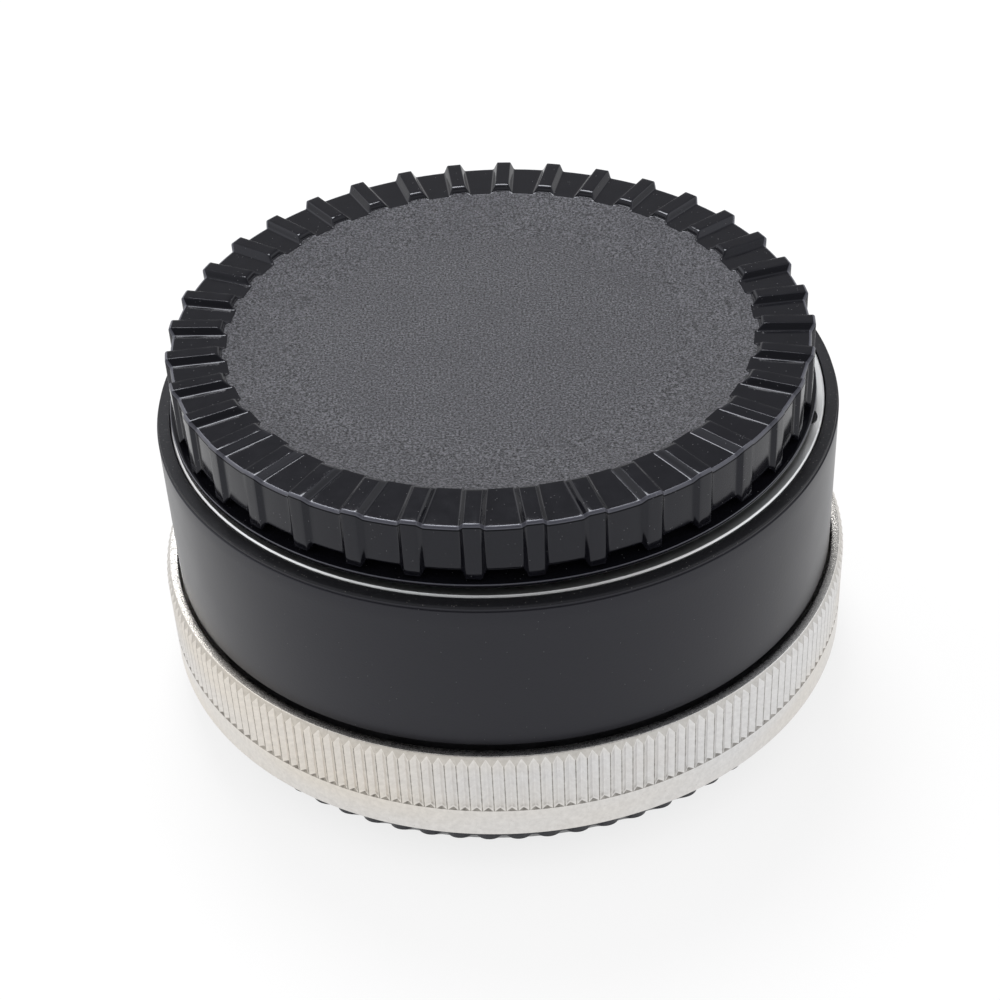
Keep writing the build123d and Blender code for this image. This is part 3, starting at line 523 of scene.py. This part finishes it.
def breech_ring():
    columns, per_tooth = tooth_columns()
    angles = [angle for angle, _ in columns]

    def plain(r, z):
        return round_row(r, z, angles)

    def knurl(height):
        """A row of the knurled wall; `height` gives the height for a radius."""
        row = []
        for angle, depth in columns:
            r = RING_R - KNURL_DEPTH * depth
            row.append((r * cos(radians(angle)), r * sin(radians(angle)), height(r)))
        return row

    def cone(r):
        return RING_TOP - (r - FLAT_R) * CONE_HEIGHT / (RING_R - FLAT_R)

    def groove(r, down):
        """A row of the web's top, lower where the stop pin's groove runs."""
        row = []
        for angle in angles:
            away = abs((angle - GROOVE_MIDDLE + 180.0) % 360.0 - 180.0)
            inside = min(1.0, max(0.0, (GROOVE_HALF - away) / GROOVE_RAMP))
            row.append((r * cos(radians(angle)), r * sin(radians(angle)), WEB_TOP - down * inside))
        return row

    rows = [plain(RING_HOLLOW_R, RING_LOW + 0.1), plain(RING_HOLLOW_R + 0.1, RING_LOW)]
    rows.append(plain(RING_R - 0.18, RING_LOW))
    rows += [plain(r, z) for r, z in arc((RING_R - 0.16, RING_LOW + 0.16), 0.16, -75, 0, 5)]
    rows += [plain(RING_R, z) for z in (RING_LOW + 0.4, RING_LOW + 1.5, KNURL_LOW - 0.25)]
    rows += [plain(RING_R, KNURL_LOW - 0.05), plain(RING_R - 0.01, KNURL_LOW)]
    ledge = len(rows) - 1
    rows.append(knurl(lambda r: KNURL_LOW + 0.02 + LEDGE_SLOPE * (RING_R - r)))
    wall = len(rows) - 1
    wall_low = KNURL_LOW + LEDGE_RISE
    for share in WALL_ROWS:
        rows.append(knurl(lambda r, s=share: wall_low + (cone(r) - KNURL_LOW - LEDGE_RISE) * s))
    bevel = len(rows) - 1
    rows.append(plain(FLAT_R + 0.04, RING_TOP - 0.08))
    rows.append(plain(FLAT_R + 0.01, RING_TOP - 0.015))
    top = len(rows) - 1
    rows.append(plain(FLAT_R - 0.05, RING_TOP))
    rows.append(plain(RING_BORE_R + 0.12, RING_TOP))
    rows += [plain(RING_BORE_R + 0.03, RING_TOP - 0.03), plain(RING_BORE_R, RING_TOP - 0.12)]
    inside = len(rows) - 1
    rows += [plain(RING_BORE_R, WEB_TOP + 0.1), plain(RING_BORE_R - 0.1, WEB_TOP)]
    rows += [groove(GROOVE_OUT + 0.02, 0.0), groove(GROOVE_OUT, GROOVE_DEPTH)]
    rows += [groove(GROOVE_IN, GROOVE_DEPTH), groove(GROOVE_IN - 0.02, 0.0)]
    rows += [plain(WEB_R + 0.1, WEB_TOP), plain(WEB_R, WEB_TOP - 0.1)]
    rows += [plain(WEB_R, WEB_LOW + 0.1), plain(WEB_R + 0.1, WEB_LOW)]
    rows.append(plain(RING_HOLLOW_R, WEB_LOW))

    def finish(number, column):
        on_crest = column % per_tooth in (0, per_tooth - 1)
        # The ledge under the knurl is darkened as painted shade; crest faces of the knurl get the
        # darker tone.
        if number == ledge:
            return 2
        if wall <= number < bevel:
            return 2 if on_crest else 0
        if bevel <= number < top:
            return 1
        if top <= number < inside:
            return 3
        return 0

    ring = rows_mesh("breech_ring_skin", rows, closed=True, finish=finish)
    drill(ring, RING_R, RING_DOT_Z)
    return even_normals(ring)


# Spring of the aperture pin: a coil from its foot on the web up to the pin's collar
SPRING_WIRE_R = 0.12
SPRING_TURNS = 5
SPRING_STEPS = 24
SPRING_SIDES = 10


def pin_spring():
    middle = (low("pin_spring") + high("pin_spring")) / 2
    coil_r = (high("pin_spring").x - low("pin_spring").x) / 2 - SPRING_WIRE_R
    start = low("pin_spring").z + SPRING_WIRE_R
    rise = high("pin_spring").z - SPRING_WIRE_R - start
    climb = rise / (2 * pi * SPRING_TURNS)
    steps = SPRING_TURNS * SPRING_STEPS
    circle = [2 * pi * side / SPRING_SIDES for side in range(SPRING_SIDES)]
    rows = []
    for step in range(steps + 1):
        turn = 2 * pi * SPRING_TURNS * step / steps
        out = Vector((cos(turn), sin(turn), 0))
        way = Vector((-sin(turn) * coil_r, cos(turn) * coil_r, climb)).normalized()
        centre = Vector((middle.x, middle.y, start + rise * step / steps)) + out * coil_r
        spoke = way.cross(out)
        row = [centre + (out * cos(a) + spoke * sin(a)) * SPRING_WIRE_R for a in circle]
        if step == 0:
            rows.append([centre])
        rows.append(row)
        if step == steps:
            rows.append([centre])
    return rows_mesh("pin_spring_coil", rows)


# Materials


def feed(links, socket, value):
    """Links a value from another node, or sets a constant one."""
    if isinstance(value, bpy.types.NodeSocket):
        links.new(value, socket)
    else:
        socket.default_value = value


def math_node(nodes, links, operation, *values, clamp=False):
    node = nodes.new("ShaderNodeMath")
    node.operation = operation
    node.use_clamp = clamp
    for socket, value in zip(node.inputs, values):
        feed(links, socket, value)
    return node.outputs[0]


class Finish:
    """A procedural material; its textures lie in the object's own metres."""

    def __init__(self, name, **sockets):
        self.material = bpy.data.materials.new(name)
        self.material.use_nodes = True
        self.nodes = self.material.node_tree.nodes
        self.links = self.material.node_tree.links
        self.shader = self.nodes["Principled BSDF"]
        for socket, value in sockets.items():
            self.shader.inputs[socket.replace("_", " ")].default_value = value
        self.place = self.nodes.new("ShaderNodeTexCoord").outputs["Object"]
        self.normal = None

    def math(self, operation, *values, clamp=False):
        return math_node(self.nodes, self.links, operation, *values, clamp=clamp)

    def vector(self, operation, *values):
        node = self.nodes.new("ShaderNodeVectorMath")
        node.operation = operation
        for socket, value in zip(node.inputs, values):
            feed(self.links, socket, value)
        scalar = operation in ("LENGTH", "DOT_PRODUCT", "DISTANCE")
        return node.outputs["Value" if scalar else "Vector"]

    def spread(self, value, low_in, high_in, low_out, high_out):
        node = self.nodes.new("ShaderNodeMapRange")
        for socket, given in zip(node.inputs, (value, low_in, high_in, low_out, high_out)):
            feed(self.links, socket, given)
        return node.outputs[0]

    def polar(self, along):
        """Radius, arc and height as a vector, its arc shortened; its seam is at the back."""
        split = self.nodes.new("ShaderNodeSeparateXYZ")
        self.links.new(self.place, split.inputs[0])
        flat = self.vector("MULTIPLY", self.place, (1, 1, 0))
        toward = self.math("MULTIPLY", split.outputs["Y"], -1.0)
        angle = self.math("ARCTAN2", split.outputs["X"], toward)
        join = self.nodes.new("ShaderNodeCombineXYZ")
        self.links.new(self.vector("LENGTH", flat), join.inputs[0])
        self.links.new(self.math("MULTIPLY", angle, along * RING_R * MM), join.inputs[1])
        self.links.new(split.outputs["Z"], join.inputs[2])
        return join.outputs[0]

    def noise(self, size, detail=2.0, rough=0.5, place=None):
        """Soft noise whose blotches are about `size` millimetres across."""
        node = self.nodes.new("ShaderNodeTexNoise")
        self.links.new(place or self.place, node.inputs["Vector"])
        node.inputs["Scale"].default_value = 1 / (size * MM)
        node.inputs["Detail"].default_value = detail
        node.inputs["Roughness"].default_value = rough
        return node.outputs[0]

    def specks(self, size, share):
        """1 in round specks about `size` millimetres across, in that share of the cells."""
        node = self.nodes.new("ShaderNodeTexVoronoi")
        self.links.new(self.place, node.inputs["Vector"])
        node.inputs["Scale"].default_value = 1 / (2 * size * MM)
        split = self.nodes.new("ShaderNodeSeparateColor")
        self.links.new(node.outputs["Color"], split.inputs[0])
        chosen = self.math("LESS_THAN", split.outputs[0], share)
        dot = self.spread(node.outputs["Distance"], 0.18, 0.3, 1.0, 0.0)
        return self.math("MULTIPLY", chosen, dot)

    def tint(self, share, first, second):
        node = self.nodes.new("ShaderNodeMix")
        node.data_type = "RGBA"
        for number, value in ((0, share), (6, first), (7, second)):
            given = (*value, 1.0) if isinstance(value, tuple) else value
            feed(self.links, node.inputs[number], given)
        return node.outputs[2]

    def colour(self, value):
        self.links.new(value, self.shader.inputs["Base Color"])

    def roughness(self, value):
        self.links.new(value, self.shader.inputs["Roughness"])

    def bump(self, height, depth):
        """Adds relief; `depth` is in millimetres."""
        node = self.nodes.new("ShaderNodeBump")
        node.inputs["Strength"].default_value = 1.0
        node.inputs["Distance"].default_value = depth * MM
        self.links.new(height, node.inputs["Height"])
        if self.normal:
            self.links.new(self.normal, node.inputs["Normal"])
        self.normal = node.outputs[0]
        self.links.new(self.normal, self.shader.inputs["Normal"])

    def stroke(self, points, half_width):
        """1 on a fine line through points (x, y) in millimetres, 0 away from it."""
        flat = self.vector("MULTIPLY", self.place, (1, 1, 0))
        total = None
        for start, end in zip(points, points[1:]):
            a, b = Vector((*start, 0)) * MM, Vector((*end, 0)) * MM
            way = b - a
            along = self.vector("DOT_PRODUCT", self.vector("SUBTRACT", flat, a), way)
            share = self.math("MULTIPLY", along, 1 / way.length_squared, clamp=True)
            reach = self.nodes.new("ShaderNodeVectorMath")
            reach.operation = "SCALE"
            reach.inputs[0].default_value = way
            self.links.new(share, reach.inputs["Scale"])
            nearest = self.vector("ADD", reach.outputs[0], a)
            away = self.vector("DISTANCE", flat, nearest)
            line = self.spread(away, 0.4 * half_width * MM, half_width * MM, 1.0, 0.0)
            total = line if total is None else self.math("MAXIMUM", total, line)
        return total


COOL = (0.88, 0.9, 1.0, 1.0)  # gloss on the blacks leans slightly to blue
SCRATCHES = (  # fine scratches at the dish's front left: half width, points (x, y)
    (0.075, ((-12.95, -7.45), (-11.4, -8.93), (-10.57, -9.76), (-9.82, -10.32))),
    (0.055, ((-8.97, -10.82), (-7.97, -11.57), (-7.36, -12.15), (-6.82, -12.77))),
    (0.06, ((-11.53, -7.97), (-10.71, -8.24))),
    (0.045, ((-4.74, -15.45), (-3.73, -15.84))),
)


def dish_finish():
    made = Finish("cap_grained", IOR=1.46, Specular_IOR_Level=0.3, Specular_Tint=COOL)
    grain = made.noise(0.2, 3.0, 0.75)
    speck_relief_and_painted_glint = made.specks(0.12, 0.2)
    patch = made.noise(6.0, 3.0)
    scratch = None
    for width, points in SCRATCHES:
        line = made.stroke(points, width)
        scratch = line if scratch is None else made.math("MAXIMUM", scratch, line)
    fading = made.spread(made.noise(0.35, 2.0), 0.3, 0.55, 0.35, 1.0)
    scratch = made.math("MULTIPLY", scratch, fading)
    peaks = made.spread(grain, 0.45, 0.62, 0.0, 1.0)
    base = made.tint(peaks, (0.004, 0.004, 0.005), (0.14, 0.14, 0.155))
    base = made.tint(made.spread(patch, 0.35, 0.7, 0.0, 0.25), base, (0.02, 0.019, 0.023))
    # The light colour in the specks is a painted glint; the specks' bump below is real relief.
    base = made.tint(made.math("MULTIPLY", speck_relief_and_painted_glint, 0.6), base, (0.26, 0.26, 0.28))
    made.colour(made.tint(made.math("MULTIPLY", scratch, 0.8), base, (0.006, 0.006, 0.008)))
    made.roughness(made.spread(grain, 0.35, 0.65, 0.26, 0.38))
    made.bump(grain, 0.08)
    made.bump(speck_relief_and_painted_glint, 0.03)
    return made


def cap_finish(name="cap_black", rough=0.08, grey=0.004, shine=0.3):
    made = Finish(name, IOR=1.5, Specular_IOR_Level=shine, Specular_Tint=COOL)
    wear = made.noise(1.6, 4.0, 0.6)
    dust = made.specks(0.07, 0.02)
    base = made.tint(wear, (grey, grey, grey * 1.4), (grey * 1.7, grey * 1.7, grey * 2.4))
    made.colour(made.tint(made.math("MULTIPLY", dust, 0.5), base, (0.3, 0.3, 0.31)))
    made.roughness(made.spread(wear, 0.3, 0.7, rough, rough + 0.06))
    made.bump(made.noise(0.35, 3.0), 0.002)
    made.bump(made.noise(3.0, 2.0), 0.01)
    return made


def barrel_finish():
    made = Finish("barrel_black", IOR=1.5, Specular_IOR_Level=0.36, Specular_Tint=COOL)
    cloud = made.noise(9.0, 3.0)
    grain = made.noise(0.22, 2.0)
    dust = made.specks(0.06, 0.004)
    base = made.tint(cloud, (0.006, 0.0055, 0.008), (0.009, 0.0085, 0.012))
    made.colour(made.tint(made.math("MULTIPLY", dust, 0.6), base, (0.25, 0.25, 0.25)))
    made.roughness(made.spread(cloud, 0.3, 0.7, 0.28, 0.34))
    made.bump(grain, 0.006)
    return made


def lip_finish():
    made = Finish("lip_black", IOR=1.45, Specular_IOR_Level=0.22, Specular_Tint=COOL)
    grain = made.noise(0.14, 3.0, 0.65)
    flecks = made.specks(0.09, 0.09)
    base = made.tint(grain, (0.004, 0.004, 0.005), (0.016, 0.016, 0.018))
    made.colour(made.tint(made.math("MULTIPLY", flecks, 0.5), base, (0.22, 0.21, 0.2)))
    made.roughness(made.spread(grain, 0.3, 0.7, 0.42, 0.6))
    made.bump(grain, 0.03)
    return made


def nickel_finish(name, dark, light, rough, lines=0.0, cells=0.0):
    """Satin nickel: fine mottling, a slow drift from warm to cool, and faint turning lines."""
    made = Finish(name, Metallic=1.0)
    round_place = made.polar(along=0.25)
    mottle = made.noise(0.45, 4.0, 0.6)
    drift = made.noise(9.0, 2.0, place=round_place)
    base = made.tint(made.spread(mottle, 0.3, 0.7, 0.0, 1.0), dark, light)
    warm = made.tint(made.spread(drift, 0.35, 0.65, 0.0, 1.0), (1.0, 0.96, 0.9), (0.97, 0.98, 1.0))
    shade = made.nodes.new("ShaderNodeMix")
    shade.data_type = "RGBA"
    shade.blend_type = "MULTIPLY"
    shade.inputs[0].default_value = 1.0
    made.links.new(base, shade.inputs[6])
    made.links.new(warm, shade.inputs[7])
    pits = made.specks(0.08, 0.03)
    made.colour(made.tint(made.math("MULTIPLY", pits, 0.35), shade.outputs[2], (0.3, 0.28, 0.25)))
    made.roughness(made.spread(mottle, 0.3, 0.7, rough, rough + 0.1))
    if lines:
        made.bump(made.noise(0.06, 1.0, place=made.polar(along=0.02)), lines)
    if cells:
        made.bump(made.noise(0.13, 2.0, 0.7), cells)
    made.bump(mottle, 0.01)
    return made


def chrome_finish():
    made = Finish("chrome_turned", Metallic=1.0)
    lines = made.noise(0.05, 2.0, place=made.polar(along=0.015))
    drift = made.noise(5.0, 2.0, place=made.polar(along=0.3))
    base = made.tint(drift, (0.62, 0.6, 0.6), (0.68, 0.72, 0.73))
    made.colour(made.tint(made.spread(lines, 0.3, 0.7, 0.0, 0.2), base, (0.5, 0.5, 0.49)))
    made.roughness(made.spread(lines, 0.3, 0.7, 0.34, 0.42))
    made.bump(lines, 0.003)
    return made


def metal_finish(name, dark, light, rough, metallic=1.0):
    """Machined metal with turning lines and small stains."""
    made = Finish(name, Metallic=metallic)
    lines = made.noise(0.08, 2.0, place=made.polar(along=0.02))
    stain = made.noise(2.5, 4.0, 0.6)
    made.colour(made.tint(made.spread(stain, 0.3, 0.7, 0.0, 1.0), dark, light))
    made.roughness(made.spread(lines, 0.3, 0.7, rough, rough + 0.14))
    made.bump(lines, 0.008)
    return made


def matte_finish():
    made = Finish("matte_black", IOR=1.4)
    grain = made.noise(0.12, 3.0, 0.6)
    made.colour(made.tint(grain, (0.006, 0.006, 0.006), (0.02, 0.02, 0.021)))
    made.roughness(made.spread(grain, 0.3, 0.7, 0.6, 0.78))
    made.bump(grain, 0.015)
    return made


def glass_finish():
    """Clear glass under a thin coating that leans from green to violet."""
    made = Finish("coated_glass", IOR=1.6, Transmission_Weight=1.0, Coat_Weight=0.5, Coat_IOR=1.8)
    drift = made.noise(14.0, 2.0)
    made.colour(made.tint(drift, (0.9, 0.96, 0.94), (0.94, 0.92, 0.99)))
    made.roughness(made.spread(made.noise(1.2, 4.0), 0.3, 0.7, 0.005, 0.03))
    made.shader.inputs["Coat Tint"].default_value = (0.72, 0.85, 0.75, 1.0)
    return made


def paint_finish():
    made = Finish("red_paint", IOR=1.5, Coat_Weight=0.3)
    wear = made.noise(0.5, 3.0)
    made.colour(made.tint(wear, (0.55, 0.02, 0.015), (0.72, 0.045, 0.03)))
    made.roughness(made.spread(wear, 0.3, 0.7, 0.3, 0.42))
    made.bump(wear, 0.02)
    return made


DISH = dish_finish()
CAP = cap_finish()
# Rim and foot edges: a glossier finish, and a base grey lighter than the cap's, which is a painted
# highlight along the edges.
CAP_EDGE_GLOSS_AND_PAINTED_HIGHLIGHT = cap_finish("cap_edge_polish_and_painted_highlight", 0.34, 0.02, 1.0)
CAP_INSIDE = cap_finish("cap_inside", 0.36, 0.006)
# A very dark, dull row just under the rim's bright edge: a painted shadow line under the rim.
CAP_PAINTED_SHADE_LINE = cap_finish("cap_painted_shade_line", 0.5, 0.002, 0.1)
REAR_CAP = cap_finish("rear_cap_black", 0.34, 0.006)
BARREL = barrel_finish()
LIP = lip_finish()
NICKEL = nickel_finish("nickel_satin", (0.68, 0.665, 0.645), (0.8, 0.785, 0.765), 0.34)
NICKEL_CONE = nickel_finish("nickel_cone", (0.5, 0.48, 0.45), (0.62, 0.6, 0.57), 0.3, cells=0.02)
# A darker nickel: a darker tone on the knurl's crest faces, and painted shade on the ledge under
# the knurl.
NICKEL_DARK_CRESTS_AND_PAINTED_SHADE = nickel_finish("nickel_dark_crests_and_painted_shade", (0.2, 0.19, 0.175), (0.5, 0.48, 0.45), 0.4)
NICKEL_TOP = nickel_finish(
    "nickel_turned", (0.62, 0.61, 0.59), (0.76, 0.75, 0.73), 0.22, lines=0.012, cells=0.02
)
SLOT_FINISHES = {
    "black_satin": BARREL,
    "black_matte": matte_finish(),
    "black_plastic": CAP,
    "bright_chrome": chrome_finish(),
    "satin_nickel": NICKEL,
    "steel": metal_finish("steel_turned", (0.34, 0.34, 0.34), (0.5, 0.5, 0.49), 0.26),
    "black_aluminium": metal_finish(
        "anodised_black", (0.012, 0.012, 0.014), (0.024, 0.024, 0.027), 0.34, metallic=0.25
    ),
    "brass": metal_finish("brass_turned", (0.5, 0.36, 0.14), (0.68, 0.52, 0.24), 0.25),
    "glass": glass_finish(),
    "red_paint": paint_finish(),
}
NODE_FINISHES = {
    # The flange screws get a near-black metal.
    "front_flange_screws": metal_finish(
        "screw_near_black", (0.008, 0.008, 0.009), (0.02, 0.02, 0.021), 0.2, metallic=0.25
    ),
}


def dress(piece, *finishes):
    numbers = [face.material_index for face in piece.data.polygons]
    piece.data.materials.clear()
    for made in finishes:
        piece.data.materials.append(made.material)
    if len(finishes) > 1:
        piece.data.polygons.foreach_set("material_index", numbers)


# Pieces that stand for CAD nodes
bodies = frame["record"]["behaviour"]["bodies"]
for make, node, slot, finishes in (
    (front_cap, "front_cap", "black_plastic", (DISH, CAP, CAP_INSIDE, CAP_EDGE_GLOSS_AND_PAINTED_HIGHLIGHT, CAP_PAINTED_SHADE_LINE)),
    (rear_cap, "rear_cap", "black_plastic", (REAR_CAP,)),
    (barrel_shell, "barrel_shell", "black_satin", (BARREL, LIP)),
    (breech_ring, "breech_ring", "satin_nickel", (NICKEL, NICKEL_CONE, NICKEL_DARK_CRESTS_AND_PAINTED_SHADE, NICKEL_TOP)),
    (pin_spring, "pin_spring", "steel", (SLOT_FINISHES["steel"],)),
):
    piece = make()
    dress(piece, *finishes)
    body = next(name for name, nodes in bodies.items() if node in nodes)
    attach(piece, body)
    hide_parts(node)
    if node == "pin_spring":
        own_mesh(piece)

# CAD nodes that stay, with small bevels on their machined edges
SMOOTH_NODES = ("lens_1", "lens_2", "lens_3", "lens_4", "pin_spring", "aperture_pin")
WELD_REACH = 0.002
EDGE_BREAK = 0.05
EDGE_ANGLE = 35
for subpart in frame["record"]["subparts"]:
    piece = frame["nodes"][subpart["node"]]
    dress(piece, NODE_FINISHES.get(subpart["node"]) or SLOT_FINISHES[subpart["material_slot"]])
    if subpart["node"] in SMOOTH_NODES:
        continue
    weld = piece.modifiers.new("weld", "WELD")
    weld.merge_threshold = WELD_REACH * MM
    bevel = piece.modifiers.new("edge_break", "BEVEL")
    bevel.width = EDGE_BREAK * MM
    bevel.segments = 2
    bevel.limit_method = "ANGLE"
    bevel.angle_limit = radians(EDGE_ANGLE)
    bevel.harden_normals = True

# Stage, in metres: a white floor, one soft lamp above and behind, a sky brighter at the sides
FLOOR_SIZE = 4.0
FLOOR_Z = -0.00002
FLOOR_STEPS = 64
FLOOR_GLOW = 0.8
LAMP_TARGET = (0, 0, 0.02)
BACKDROP_LOW, BACKDROP_HIGH = 14, 24  # degrees up between which gloss loses the white backdrop
SKY_ZONES = (("all", 0.75), ("behind", 0.38), ("left", 1.7), ("right", 1.7), ("front", 0.3))
SKY_PLACES = {  # direction, angle where the zone begins, angle where it is full
    "behind": ((0.15, 1.0, 0.65), 40, 15),
    "left": ((-1.0, 0.35, 0.2), 60, 25),
    "right": ((1.0, 0.1, 0.1), 55, 20),
    "front": ((0.0, -1.0, 0.2), 62, 38),
}


def backdrop_share(nodes, links, level, mirrored=1.0):
    """`level` for the rays that show the plain white backdrop, 0 for the rays that carry light.

    Rays off glossy surfaces show it by the share `mirrored`.
    """
    path = nodes.new("ShaderNodeLightPath").outputs
    seen = math_node(nodes, links, "MAXIMUM", path["Is Camera Ray"], path["Is Transmission Ray"])
    glossy = math_node(nodes, links, "MULTIPLY", path["Is Glossy Ray"], mirrored)
    either = math_node(nodes, links, "MAXIMUM", seen, glossy)
    return math_node(nodes, links, "MULTIPLY", either, level)


def floor():
    mesh = bpy.data.meshes.new("floor")
    circle = [2 * pi * step / FLOOR_STEPS for step in range(FLOOR_STEPS)]
    corners = [(FLOOR_SIZE * cos(a), FLOOR_SIZE * sin(a), FLOOR_Z) for a in circle]
    mesh.from_pydata(corners, [], [range(FLOOR_STEPS)])
    plane = bpy.data.objects.new("floor", mesh)
    bpy.context.scene.collection.objects.link(plane)
    plane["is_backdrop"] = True
    material = bpy.data.materials.new("floor_white")
    material.use_nodes = True
    nodes, links = material.node_tree.nodes, material.node_tree.links
    nodes.clear()
    paper = nodes.new("ShaderNodeBsdfDiffuse")
    paper.inputs["Color"].default_value = (0.9, 0.9, 0.9, 1.0)
    white = nodes.new("ShaderNodeEmission")
    mix = nodes.new("ShaderNodeMixShader")
    links.new(backdrop_share(nodes, links, FLOOR_GLOW), mix.inputs[0])
    links.new(paper.outputs[0], mix.inputs[1])
    links.new(white.outputs[0], mix.inputs[2])
    links.new(mix.outputs[0], nodes.new("ShaderNodeOutputMaterial").inputs["Surface"])
    mesh.materials.append(material)


def lamp(name, place, size, watts):
    data = bpy.data.lights.new(name, "AREA")
    data.shape = "DISK"
    data.size = size
    data.energy = watts
    obj = bpy.data.objects.new(name, data)
    obj.location = place
    beam = Vector(LAMP_TARGET) - Vector(place)
    obj.rotation_euler = beam.to_track_quat("-Z", "Y").to_euler()
    bpy.context.scene.collection.objects.link(obj)


def sky():
    """A white backdrop; above it, for light and gloss, a ceiling that is bright at the sides."""
    world = bpy.data.worlds.new("studio")
    bpy.context.scene.world = world
    world.use_nodes = True
    nodes, links = world.node_tree.nodes, world.node_tree.links
    direction = nodes.new("ShaderNodeTexCoord").outputs["Generated"]
    shade = None
    for name, level in SKY_ZONES:
        zone = nodes.new("ShaderNodeMix")
        zone.data_type = "RGBA"
        zone.inputs[7].default_value = (level, level, level * 1.01, 1.0)
        if shade is None:
            zone.inputs[0].default_value = 1.0
        else:
            axis, outer, inner = SKY_PLACES[name]
            facing = nodes.new("ShaderNodeVectorMath")
            facing.operation = "DOT_PRODUCT"
            links.new(direction, facing.inputs[0])
            facing.inputs[1].default_value = Vector(axis).normalized()
            inside = nodes.new("ShaderNodeMapRange")
            inside.interpolation_type = "SMOOTHSTEP"
            inside.inputs["From Min"].default_value = cos(radians(outer))
            inside.inputs["From Max"].default_value = cos(radians(inner))
            links.new(facing.outputs["Value"], inside.inputs["Value"])
            links.new(inside.outputs[0], zone.inputs[0])
            links.new(shade, zone.inputs[6])
        shade = zone.outputs[2]
    white = nodes.new("ShaderNodeMix")
    white.data_type = "RGBA"
    white.inputs[7].default_value = (1.0, 1.0, 1.0, 1.0)
    split = nodes.new("ShaderNodeSeparateXYZ")
    links.new(direction, split.inputs[0])
    horizon = nodes.new("ShaderNodeMapRange")
    horizon.interpolation_type = "SMOOTHSTEP"
    horizon.inputs["From Min"].default_value = sin(radians(BACKDROP_HIGH))
    horizon.inputs["From Max"].default_value = sin(radians(BACKDROP_LOW))
    links.new(split.outputs["Z"], horizon.inputs["Value"])
    links.new(backdrop_share(nodes, links, 1.0, horizon.outputs[0]), white.inputs[0])
    links.new(shade, white.inputs[6])
    links.new(white.outputs[2], nodes["Background"].inputs["Color"])


floor()
sky()
lamp("overhead", place=(-0.06, 0.38, 0.66), size=0.3, watts=3.4)

# Camera, placed by the circles that the photograph shows; its three turns are radians
CAMERA_PLACE = Vector((0, -156.35, 138.8)) * MM
YAW, PITCH, ROLL = -0.0014, 0.6678, -0.0517
LENS, SENSOR = 74.75, 36.0
NEAR_CLIP = 0.01  # metres
camera = bpy.data.objects.new("camera", bpy.data.cameras.new("camera"))
camera.data.lens = LENS
camera.data.sensor_width = SENSOR
camera.data.clip_start = NEAR_CLIP
forward = Vector((sin(YAW) * cos(PITCH), cos(YAW) * cos(PITCH), -sin(PITCH)))
level = Vector((cos(YAW), -sin(YAW), 0))
upward = level.cross(forward)
right = level * cos(ROLL) + upward * sin(ROLL)
top = upward * cos(ROLL) - level * sin(ROLL)
turn = Matrix((right, top, -forward)).transposed().to_4x4()
camera.matrix_world = Matrix.Translation(CAMERA_PLACE) @ turn
bpy.context.scene.collection.objects.link(camera)
bpy.context.scene.camera = camera
bpy.context.scene.view_settings.view_transform = "Standard"

boxes = {"cad": cad_box, "visual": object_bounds()}
{name: [list(corner) for corner in box] for name, box in boxes.items()}
